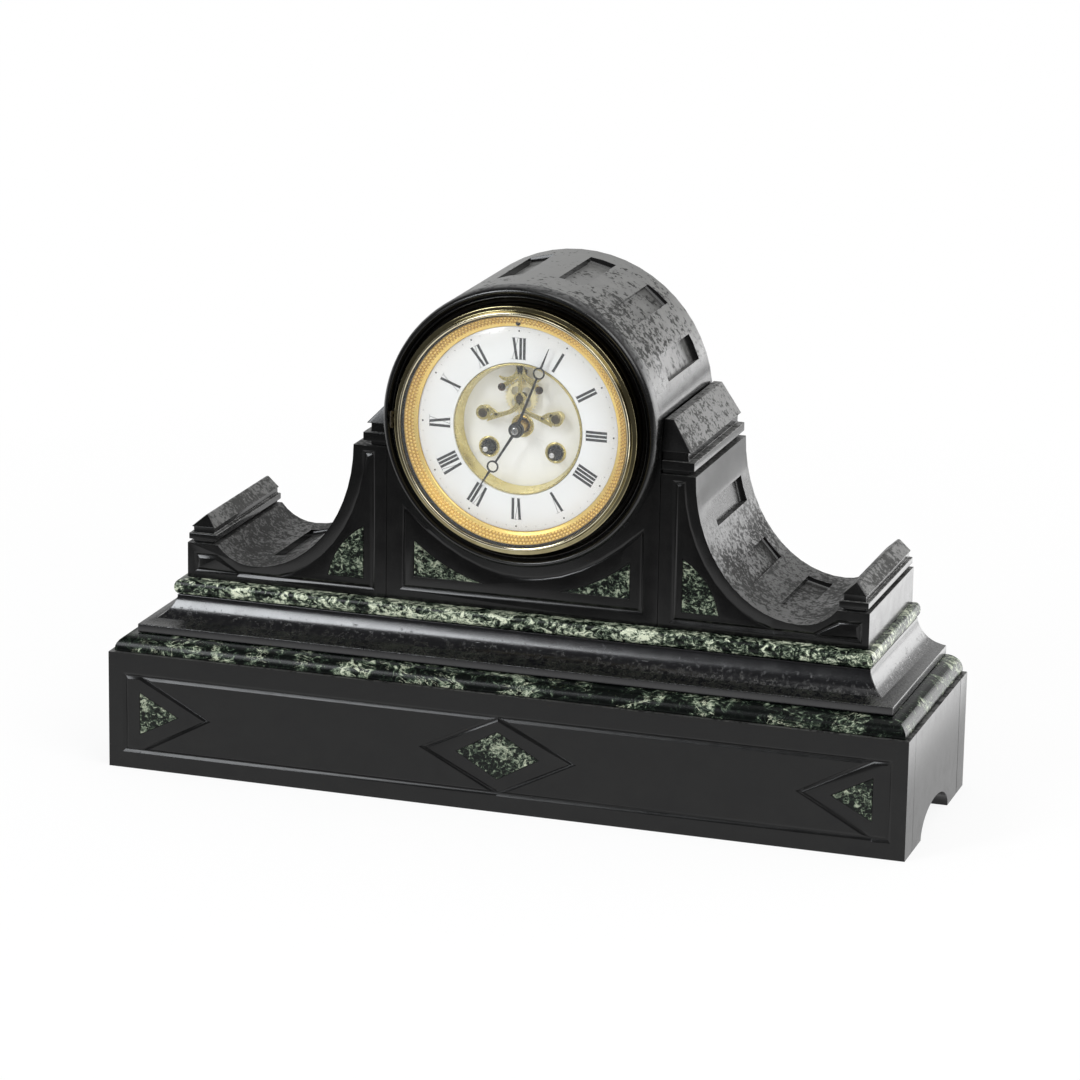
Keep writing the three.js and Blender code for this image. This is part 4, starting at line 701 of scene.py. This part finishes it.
def chapter_ring():
    """Enamel ring on three feet."""
    bore, outer = ENAMEL_BORE, ENAMEL_RADIUS
    front, back = DIAL_FRONT, DIAL_FRONT + ENAMEL_THICKNESS
    ring = Solid()
    ring.lathe([(bore, back), (bore, front + 0.3), (bore + 0.25, front), (outer - 0.3, front),
                (outer, front + 0.25), (outer, back)], DIAL_SIDES)
    for degrees in DIAL_FOOT_ANGLES:
        angle = math.radians(degrees)
        ring.lathe([(0, back - 0.2), (DIAL_FOOT_RADIUS, back - 0.2), (DIAL_FOOT_RADIUS, DIAL_FEET),
                    (0, DIAL_FEET)], PIN_SIDES,
                   (DIAL_FOOT_RING * math.cos(angle), DIAL_FOOT_RING * math.sin(angle)), closed=False)
    place(ring.object("chapter_ring_enamel", SHARP_TURNED), "case", "enamel", ENAMEL, "dial_chapter_ring")


def inner_ring():
    """Gilt wall between the enamel ring and the sunk centre."""
    front, foot, edge = DIAL_FRONT, CENTRE_FRONT - 0.3, WELL_RADIUS
    wall = smooth_profile([(edge, front - 0.2), (edge - 0.15, front - 0.55), (edge - 0.6, front - 0.6),
                           (edge - 0.95, front - 0.3), (edge - 1.3, front + 1.6), (edge - 2.0, front + 5.0),
                           (edge - 2.6, foot)], 5)
    ring = Solid()
    ring.lathe([*wall, (edge, foot)], DIAL_SIDES)
    place(ring.object("inner_ring_turned", SHARP_TURNED), "case", "gilt", GILT_PALE, "dial_inner_ring")


def collar(name, centre, bore, rim):
    """Gilt collar round a hole in the dial centre."""
    y = CENTRE_FRONT
    curve = smooth_profile([(rim, y), (rim - 0.1, y - 0.7), (rim - 0.7, y - 1.0), (bore + 0.5, y - 0.5),
                            (bore, y + 0.4)], 4)
    bush = Solid()
    bush.lathe([*curve, (bore, CENTRE_BACK - 0.2), (rim, y + 0.1)], COLLAR_SIDES, centre)
    place(bush.object(name), "case", "gilt", GILT_PALE)


WINDING_BODIES = {"right": ("going_square", "going_winding_arbor"),
                  "left": ("strike_square", "strike_winding_arbor")}


WINDING_BORE, WINDING_RIM = 3.9, 5.9
MIDDLE_BORE, MIDDLE_RIM = 4.0, 6.4
LINING_BORE, LINING_WALL, LINING_RIM = 3.35, 0.03, 4.1
FLOOR_BORE, FLOOR_RIM, FLOOR_THICKNESS = 2.6, 4.2, 0.6
ARBOR_END_RADIUS = 1.5


def winding_hole(side, centre):
    """Gilt collar, a flat black lining of painted shade and the domed end of the arbor in one winding hole.
    """
    collar(f"winding_collar_{side}", centre, WINDING_BORE, WINDING_RIM)
    front, deep = CENTRE_FRONT, CENTRE_BACK + 0.3
    lining = Solid()
    lining.lathe([(LINING_BORE, deep), (LINING_BORE, front - 0.6), (LINING_RIM, front - 0.8),
                  (LINING_RIM, front - 0.1), (LINING_BORE + LINING_WALL, front - 0.1),
                  (LINING_BORE + LINING_WALL, deep)], HUB_SIDES, centre)
    lining.lathe([(FLOOR_BORE, deep), (FLOOR_RIM, deep), (FLOOR_RIM, deep + FLOOR_THICKNESS),
                  (FLOOR_BORE, deep + FLOOR_THICKNESS)], HUB_SIDES, centre)
    place(lining.object(f"winding_shade_{side}"), "case", "steel", PAINTED_SHADE)

    body, node = WINDING_BODIES[side]
    tip = span(node)[0].y
    dome = smooth_profile([(ARBOR_END_RADIUS, tip), (1.35, tip - 0.45), (0.8, tip - 0.8), (0, tip - 0.9)], 4)
    end = Solid()
    end.lathe([(ARBOR_END_RADIUS, tip + 0.3), *dome], STUD_SIDES, centre, closed=False)
    place(end.object(f"winding_end_{side}"), body, "steel", BRIGHT_STEEL)


def collars():
    """Both winding holes and the collar of the middle hole."""
    for side, centre in zip(("right", "left"), WINDING_HOLES):
        winding_hole(side, centre)
    collar("middle_collar", (0.0, 0.0), MIDDLE_BORE, MIDDLE_RIM)


# Painted numerals and minute dots

NUMERALS = ["I", "II", "III", "IIII", "V", "VI", "VII", "VIII", "IX", "X", "XI", "XII"]
THICK, THIN, SERIF, SERIF_HALF = 1.5, 0.22, 0.16, 1.05
WIDTHS = {"I": 2.1, "V": 4.1, "X": 4.1}
LETTER_GAP = 0.3
NUMERAL_FOOT, NUMERAL_HEIGHT = 38.7, 12.0
MINUTE_RADIUS, HOUR_DOT, MINUTE_DOT, DOT_SIDES = 54.5, 0.52, 0.24, 12
PAINT_FRONT, PAINT_BACK = DIAL_FRONT - 0.05, DIAL_FRONT + 0.02


def turned(points, spin):
    """Points of (sideways, outwards) turned clockwise from twelve, as (x, z)."""
    c, s = math.cos(spin), math.sin(spin)
    return [(x * c + r * s, -x * s + r * c) for x, r in points]


def stroke(solid, spin, points):
    """Flat painted shape turned to its place on the dial."""
    solid.plate(turned(points, spin), PAINT_FRONT, PAINT_BACK)


def numerals():
    """Roman numerals with their feet to the centre, and a dot for every minute."""
    paint = Solid()
    foot, head = NUMERAL_FOOT, NUMERAL_FOOT + NUMERAL_HEIGHT
    for hour, word in enumerate(NUMERALS, 1):
        spin = TAU * hour / 12
        x = -sum(WIDTHS[letter] for letter in word) / 2
        for letter in word:
            width = WIDTHS[letter]
            left, right, mid = x + LETTER_GAP, x + width - LETTER_GAP, x + width / 2
            if letter == "I":
                stroke(paint, spin, [(mid - THICK / 2, foot), (mid + THICK / 2, foot),
                                     (mid + THICK / 2, head), (mid - THICK / 2, head)])
                ends = [(mid, foot), (mid, head)]
            elif letter == "V":
                stroke(paint, spin, [(mid - THICK / 2, foot), (mid + THICK / 2, foot),
                                     (left + THICK, head), (left, head)])
                stroke(paint, spin, [(mid - THIN / 2, foot), (mid + THIN / 2, foot),
                                     (right, head), (right - THIN, head)])
                ends = [(left + THICK / 2, head), (right - THIN / 2, head)]
            else:
                stroke(paint, spin, [(right - THICK, foot), (right, foot),
                                     (left + THICK, head), (left, head)])
                stroke(paint, spin, [(left, foot), (left + THIN, foot),
                                     (right, head), (right - THIN, head)])
                ends = [(left + THICK / 2, head), (right - THIN / 2, head), (right - THICK / 2, foot),
                        (left + THIN / 2, foot)]
            for ex, er in ends:
                r0 = er - SERIF if er == head else er
                stroke(paint, spin, [(ex - SERIF_HALF, r0), (ex + SERIF_HALF, r0),
                                     (ex + SERIF_HALF, r0 + SERIF), (ex - SERIF_HALF, r0 + SERIF)])
            x += width
    for minute in range(60):
        spin = TAU * minute / 60
        radius = HOUR_DOT if minute % 5 == 0 else MINUTE_DOT
        around = [TAU * k / DOT_SIDES for k in range(DOT_SIDES)]
        stroke(paint, spin, [(radius * math.cos(a), MINUTE_RADIUS + radius * math.sin(a)) for a in around])
    place(paint.object("dial_numerals", smooth=False), "case", "enamel", INK)


# Hands

# Angles in degrees from twelve, tips, middles of the rings and bores
HOUR_ANGLE, HOUR_TIP, HOUR_MOON, HOUR_BORE = 211.75, 42, 25.7, 3.4
MINUTE_ANGLE, MINUTE_TIP, MINUTE_MOON, MINUTE_BORE = 21.0, 50, 35, 1.9
HAND_THICKNESS, HAND_CHAMFER = 0.7, 0.08
HUB_RADIUS, MOON_RADIUS, MOON_BORE = 4.2, 3.4, 2.5
COLLET_RADIUS, COLLET_GAP = 3.4, 0.3


def hand(name, tip, moon, back, angle, bore):
    """Straight blade through a ring, on a round hub."""
    front = back - HAND_THICKNESS
    spin = math.radians(angle)
    start, below, above = HUB_RADIUS - 0.4, moon - MOON_RADIUS + 0.3, moon + MOON_RADIUS - 0.3
    shaft = [(-0.8, start), (0.8, start), (0.55, below), (-0.55, below)]
    point = [(-0.68, above), (0.68, above), (0.12, tip), (-0.12, tip)]

    def rim(inner, outer):
        return [(inner, back), (inner, front + 0.15), (inner + 0.12, front), (outer - 0.12, front),
                (outer, front + 0.15), (outer, back)]

    blade = Solid()
    for outline in (shaft, point):
        blade.plate(turned(outline, spin), front, back, HAND_CHAMFER)
    blade.lathe(rim(MOON_BORE, MOON_RADIUS), HUB_SIDES, turned([(0, moon)], spin)[0])
    blade.lathe(rim(bore, HUB_RADIUS), HUB_SIDES)
    return blade.object(name, SHARP_BLADE)


def hands():
    """Both hands, the collet over them and the nut at its front."""
    hour = hand("hour_hand_blued", HOUR_TIP, HOUR_MOON, HOUR_HAND_BACK, HOUR_ANGLE, HOUR_BORE)
    place(hour, "hour_work", "blued_steel", BLUED, "hour_hand")
    minute = hand("minute_hand_blued", MINUTE_TIP, MINUTE_MOON, MINUTE_HAND_BACK, MINUTE_ANGLE, MINUTE_BORE)
    place(minute, "minute_work", "blued_steel", BLUED, "minute_hand")

    back = MINUTE_HAND_BACK - HAND_THICKNESS - COLLET_GAP
    bore, radius = MINUTE_BORE, COLLET_RADIUS
    dome = smooth_profile([(radius, back - 0.15), (3.2, back - 0.6), (2.6, back - 0.95),
                           (bore, back - 1.0)], 4)
    collet = Solid()
    collet.lathe([(bore, back), (radius, back), *dome], COLLET_SIDES)
    place(collet.object("collet_turned"), "minute_work", "steel", BLUED, "hand_collet")

    end = back - 1.35
    cap = smooth_profile([(2.1, end - 0.1), (1.9, end - 0.5), (1.2, end - 0.75), (0, end - 0.8)], 4)
    nut = Solid()
    nut.lathe([(0, end), (2.0, end), *cap], HUB_SIDES, closed=False)
    place(nut.object("hand_nut"), "minute_work", "steel", STEEL)


# Brass cock over the escape wheel: middle lines of its arms on the right side, and the widths along them

LOWER_ARM = ((0.6, 14.6), (2.0, 11.4), (5.2, 8.7), (9.6, 7.0), (13.6, 5.6), (16.6, 4.0), (18.4, 2.2))
LOWER_WIDTHS = (3.0, 2.7, 2.4, 2.4, 2.9, 2.0, 0.3)
FOOT_ARM = ((12.4, 6.2), (14.6, 7.6), (16.8, 8.6), (18.6, 9.4))
FOOT_WIDTHS = (1.7, 2.4, 2.7, 1.9)
UPPER_ARM = ((0.5, 34.6), (1.2, 31.4), (3.2, 28.4), (6.6, 26.8), (9.6, 26.8), (12.0, 28.0))
UPPER_WIDTHS = (3.0, 2.6, 2.4, 2.2, 1.6, 0.3)
STEM = ((0, ESCAPE_RISE), (0, 22), (0, 28), (0, 32), (0, 35.3))
STEM_WIDTHS = (2.2, 1.8, 2.0, 3.4, 5.2)
COCK_BACK = BRIDGE_FRONT + 1.3
COCK_CHAMFER = 0.12
STONE_FRONT = BRIDGE_FRONT + 1.0
STONE_RADIUS, STONE_THICKNESS = 2.2, 0.7


def arm(solid, path, widths, sign=1):
    """Tapering strip along a smooth path of (x, z), on the right or, with sign -1, the left side."""
    path = [(sign * x, z) for x, z in path]
    points = smooth_profile([(x, z, w) for (x, z), w in zip(path, widths)], 7)
    left, right = [], []
    for i, (x, z, w) in enumerate(points):
        a, b = points[max(i - 1, 0)], points[min(i + 1, len(points) - 1)]
        d = Vector((b[0] - a[0], b[1] - a[1])).normalized()
        left.append((x - d.y * w / 2, z + d.x * w / 2))
        right.append((x + d.y * w / 2, z - d.x * w / 2))
    outline = [*right, *reversed(left)]
    area = sum(a[0] * b[1] - b[0] * a[1] for a, b in zip(outline, outline[1:] + outline[:1]))
    solid.plate(outline if area > 0 else outline[::-1], BRIDGE_FRONT, COCK_BACK, COCK_CHAMFER)


def bridge():
    """Cock with its curled arms, two feet and three screws."""
    front, back, pivot = BRIDGE_FRONT, COCK_BACK, (0, ESCAPE_RISE)
    cock = Solid()
    screws = Solid()
    for sign in (1, -1):
        foot = (sign * FOOT_X, FOOT_Z)
        arm(cock, LOWER_ARM, LOWER_WIDTHS, sign)
        arm(cock, FOOT_ARM, FOOT_WIDTHS, sign)
        cock.lathe([(0, CENTRE_FRONT - 0.3), (3.2, CENTRE_FRONT - 0.3), (3.2, back), (4.1, back),
                    (4.1, front + 0.2), (3.9, front), (0, front)], HUB_SIDES, foot, closed=False)
        screws.lathe([(0, front - 0.8), (2.1, front - 0.8), (2.5, front - 0.4), (2.5, front + 0.1),
                      (0, front + 0.1)], STUD_SIDES, foot, closed=False)
        arm(cock, UPPER_ARM, UPPER_WIDTHS, sign)
    arm(cock, STEM, STEM_WIDTHS)
    cock.lathe([(0, back), (3.2, back), (3.2, front + 0.2), (3.0, front), (0, front)], BOSS_SIDES, pivot,
               closed=False)
    screws.lathe([(0, front - 0.4), (1.9, front - 0.4), (2.1, front - 0.2), (2.1, front + 0.1),
                  (0, front + 0.1)], SCREW_SIDES, pivot, closed=False)
    place(cock.object("cock_curled", SHARP_TURNED), "case", "gilt", GILT_PALE, "escapement_bridge")
    place(screws.object("cock_screws", SHARP_TURNED), "case", "blued_steel", PATINA)


def pallet_stones():
    """Dark round stones at the ends of the anchor."""
    front, back = STONE_FRONT, STONE_FRONT + STONE_THICKNESS
    stones = Solid()
    for sign in (1, -1):
        stones.lathe([(0, front), (STONE_RADIUS - 0.5, front), (STONE_RADIUS, front + 0.35),
                      (STONE_RADIUS, back), (0, back)], STUD_SIDES, (sign * PALLET_X, PALLET_Z), closed=False)
    place(stones.object("pallet_stones", SHARP_TURNED), "pallet_arbor", "steel", JEWEL)


# Round door at the back

DOOR_KNOB_X = -0.82 * DOOR_RADIUS
DOOR_BACK = DOOR_FRONT + 1.5
KNOB_FOOT = 1.9
REAR_SEAT = DOOR_RADIUS + 0.3
REAR_BORE = REAR_SEAT - 3.3
REAR_HINGE_X, REAR_HINGE_Y, REAR_HINGE_RADIUS = REAR_SEAT + 2.0, DOOR_FRONT + 0.75, 0.95
REAR_KNUCKLE_HALF = 2.7


def rear_ring():
    """Brass ring in the back of the drum, with the seat of the door."""
    radius, back, lip = REAR_RING_RADIUS, REAR_RING_BACK, DOOR_FRONT - 0.3
    edge = smooth_profile([(radius, back - 1.0), (radius - 0.3, back - 0.3), (radius - 1.0, back)], 4)
    ring = Solid()
    ring.lathe([(REAR_BORE, REAR_RING_FRONT), (radius, REAR_RING_FRONT), *edge, (REAR_SEAT + 0.4, back),
                (REAR_SEAT, back - 0.4), (REAR_SEAT, lip), (REAR_BORE, lip)], DIAL_SIDES)
    place(ring.object("rear_ring_turned", SHARP_TURNED), "case", "brass", REAR_BRASS, "rear_ring")


def rear_door():
    """Turned plate with a knob and a hinge knuckle."""
    radius, front, back, half = DOOR_RADIUS, DOOR_FRONT, DOOR_BACK, REAR_KNUCKLE_HALF
    groove = smooth_profile([(radius, front + 0.9), (radius - 0.4, back), (radius - 3.6, back),
                             (radius - 4.2, back - 0.5), (radius - 5.4, back - 0.5),
                             (radius - 6.2, back - 0.1)], 4)
    knob = smooth_profile([(KNOB_FOOT, back), (1.6, back + 0.8), (2.7, back + 1.6), (3.0, back + 2.2),
                           (2.5, KNOB_BACK - 0.3), (0, KNOB_BACK)], 5)
    plate = Solid()
    plate.lathe([(0, front), (radius, front), *groove, (radius * 0.5, back), (0, back)], DIAL_SIDES,
                closed=False)
    plate.lathe([(0, back - 0.5), (KNOB_FOOT, back - 0.5), *knob], HUB_SIDES, (DOOR_KNOB_X, 0), closed=False)
    upright_rod(plate, REAR_HINGE_X, REAR_HINGE_Y, REAR_HINGE_RADIUS, half)
    plate.box((radius - 1.0, REAR_HINGE_X), (front, back), (DIAL_Z - half, DIAL_Z + half))
    place(plate.object("rear_door_turned", SHARP_TURNED), "back_door", "brass", REAR_BRASS, "rear_door")


drum_ring()
bezel_ring()
bezel_knuckle()
bezel_glass()
slip_ring()
slip_ring_beads()
regulator_end()
chapter_ring()
inner_ring()
collars()
numerals()
hands()
bridge()
pallet_stones()
rear_ring()
rear_door()


# Floor, light and camera

SHADOW_SHARE, SHADOW_NEAR, SHADOW_FAR = 0.12, 0.25, 0.9
FRONT_GLOSS = 0.1
FLOOR_FALL, SKY_FALL = (-0.3, -0.45), (0.75, 0.2)
FLOOR_COLOUR, FLOOR_ROUGHNESS = (0.92, 0.92, 0.92, 1), 0.9
FLOOR_HALF = 6
AMBIENT = 0.54


def wire(tree, kind, operation=None):
    """New node in a floor or world tree."""
    made = tree.nodes.new(kind)
    if operation:
        made.operation = operation
    return made


def seen_white(tree, coordinate, near, far):
    """One for the camera and through glass. For reflections it falls off along Y, towards a dark front.

    Also gives whether the ray is one of these.
    """
    path = wire(tree, "ShaderNodeLightPath")
    fall = wire(tree, "ShaderNodeMapRange")
    fall.inputs["From Min"].default_value = far
    fall.inputs["From Max"].default_value = near
    fall.inputs["To Min"].default_value = FRONT_GLOSS
    parts = wire(tree, "ShaderNodeSeparateXYZ")
    gloss = wire(tree, "ShaderNodeMath", "MULTIPLY")
    direct = wire(tree, "ShaderNodeMath", "MAXIMUM")
    either = wire(tree, "ShaderNodeMath", "MAXIMUM")
    looked = wire(tree, "ShaderNodeMath", "MAXIMUM")
    tree.links.new(coordinate, parts.inputs["Vector"])
    tree.links.new(parts.outputs["Y"], fall.inputs["Value"])
    tree.links.new(fall.outputs["Result"], gloss.inputs[0])
    tree.links.new(path.outputs["Is Glossy Ray"], gloss.inputs[1])
    tree.links.new(path.outputs["Is Camera Ray"], direct.inputs[0])
    tree.links.new(path.outputs["Is Transmission Ray"], direct.inputs[1])
    tree.links.new(direct.outputs[0], either.inputs[0])
    tree.links.new(gloss.outputs[0], either.inputs[1])
    tree.links.new(direct.outputs[0], looked.inputs[0])
    tree.links.new(path.outputs["Is Glossy Ray"], looked.inputs[1])
    return either.outputs[0], looked.outputs[0]


def floor_look():
    """Pale floor: white to the camera, with part of its real shading kept near the clock."""
    material = bpy.data.materials.new("pale_floor")
    material.use_nodes = True
    tree = material.node_tree
    bsdf = tree.nodes["Principled BSDF"]
    bsdf.inputs["Base Color"].default_value = FLOOR_COLOUR
    bsdf.inputs["Roughness"].default_value = FLOOR_ROUGHNESS
    coords = wire(tree, "ShaderNodeTexCoord")
    white, looked = seen_white(tree, coords.outputs["Object"], *FLOOR_FALL)
    glow = wire(tree, "ShaderNodeEmission")
    reach = wire(tree, "ShaderNodeVectorMath", "LENGTH")
    fade = wire(tree, "ShaderNodeMapRange")
    fade.inputs["From Min"].default_value = SHADOW_NEAR
    fade.inputs["From Max"].default_value = SHADOW_FAR
    fade.inputs["To Min"].default_value = 1 - SHADOW_SHARE
    share = wire(tree, "ShaderNodeMath", "MULTIPLY")
    mix = wire(tree, "ShaderNodeMixShader")
    tree.links.new(coords.outputs["Object"], reach.inputs[0])
    tree.links.new(reach.outputs["Value"], fade.inputs["Value"])
    tree.links.new(fade.outputs["Result"], share.inputs[1])
    tree.links.new(white, glow.inputs["Strength"])
    tree.links.new(looked, share.inputs[0])
    tree.links.new(share.outputs[0], mix.inputs[0])
    tree.links.new(bsdf.outputs[0], mix.inputs[1])
    tree.links.new(glow.outputs[0], mix.inputs[2])
    tree.links.new(mix.outputs[0], tree.nodes["Material Output"].inputs["Surface"])
    return material


floor_mesh = bpy.data.meshes.new("floor")
floor_mesh.from_pydata([(-FLOOR_HALF, -FLOOR_HALF, 0), (FLOOR_HALF, -FLOOR_HALF, 0),
                        (FLOOR_HALF, FLOOR_HALF, 0), (-FLOOR_HALF, FLOOR_HALF, 0)], [], [(0, 1, 2, 3)])
floor_mesh.materials.append(floor_look())
floor = bpy.data.objects.new("floor", floor_mesh)
bpy.context.scene.collection.objects.link(floor)


def studio_world():
    """White to the camera, a plain even light on the object."""
    world = bpy.data.worlds.new("studio")
    world.use_nodes = True
    tree = world.node_tree
    sky = tree.nodes["Background"]
    sky.inputs["Color"].default_value = (1, 1, 1, 1)
    coords = wire(tree, "ShaderNodeTexCoord")
    white, looked = seen_white(tree, coords.outputs["Generated"], *SKY_FALL)
    plain = wire(tree, "ShaderNodeMath", "MULTIPLY_ADD")
    plain.inputs[1].default_value = -AMBIENT
    plain.inputs[2].default_value = AMBIENT
    total = wire(tree, "ShaderNodeMath", "ADD")
    tree.links.new(looked, plain.inputs[0])
    tree.links.new(plain.outputs[0], total.inputs[0])
    tree.links.new(white, total.inputs[1])
    tree.links.new(total.outputs[0], sky.inputs["Strength"])
    return world


bpy.context.scene.world = studio_world()


def soft_light(name, place_at, aim_at, width, height, radiance, colour=(1, 1, 1)):
    """Rectangular lamp that the camera doesn't see."""
    data = bpy.data.lights.new(name, "AREA")
    data.shape = "RECTANGLE"
    data.size = width
    data.size_y = height
    data.color = colour
    data.energy = radiance * math.pi * width * height
    lamp = bpy.data.objects.new(name, data)
    bpy.context.scene.collection.objects.link(lamp)
    lamp.location = place_at
    lamp.rotation_euler = (Vector(aim_at) - Vector(place_at)).to_track_quat("-Z", "Y").to_euler()
    lamp.visible_camera = False


soft_light("front_soft", (-1.3, -2.05, 1.7), (0, 0, 0.15), 0.7, 1.4, 10.5, (0.94, 0.97, 1.0))
soft_light("top_soft", (0.2, -0.05, 1.9), (0, 0, 0.2), 0.9, 0.6, 3.0)
soft_light("right_soft", (1.3, -0.85, 1.55), (0.05, 0, 0.2), 1.3, 1.3, 3.2)
soft_light("back_soft", (1.6, 2.2, 0.38), (0.05, 0, 0.12), 2.6, 0.72, 2.7)
soft_light("back_card", (0.9, 1.2, 0.004), (0.9, 1.2, 1.0), 0.8, 1.0, 2.2)
soft_light("floor_card", (0.52, 0.36, 0.004), (0.52, 0.36, 1.0), 0.5, 0.7, 1.7)

scene = bpy.context.scene
scene.view_settings.view_transform = "Standard"

YAW, PITCH, ROLL = (math.radians(angle) for angle in (17.85, 15.43, 0.98))
AIM = Vector((0.0005, 0.0, 0.1374))
DISTANCE = 2.529
FOCAL_PIXELS, FRAME_PIXELS = 4562.0, 1080.0
SENSOR_WIDTH, CAMERA_REACH = 36.0, 50
back = Vector((math.sin(YAW) * math.cos(PITCH), -math.cos(YAW) * math.cos(PITCH), math.sin(PITCH)))
right = (-back).cross(Vector((0, 0, 1))).normalized()
up = right.cross(-back)
rolled_right = right * math.cos(ROLL) + up * math.sin(ROLL)
rolled_up = up * math.cos(ROLL) - right * math.sin(ROLL)
eye = AIM + back * DISTANCE
camera_data = bpy.data.cameras.new("photo_camera")
camera_data.sensor_width = SENSOR_WIDTH
camera_data.lens = FOCAL_PIXELS * camera_data.sensor_width / FRAME_PIXELS
camera_data.clip_end = CAMERA_REACH
camera = bpy.data.objects.new("photo_camera", camera_data)
scene.collection.objects.link(camera)
camera.matrix_world = Matrix((
    (rolled_right.x, rolled_up.x, back.x, eye.x),
    (rolled_right.y, rolled_up.y, back.y, eye.y),
    (rolled_right.z, rolled_up.z, back.z, eye.z),
    (0, 0, 0, 1),
))
scene.camera = camera
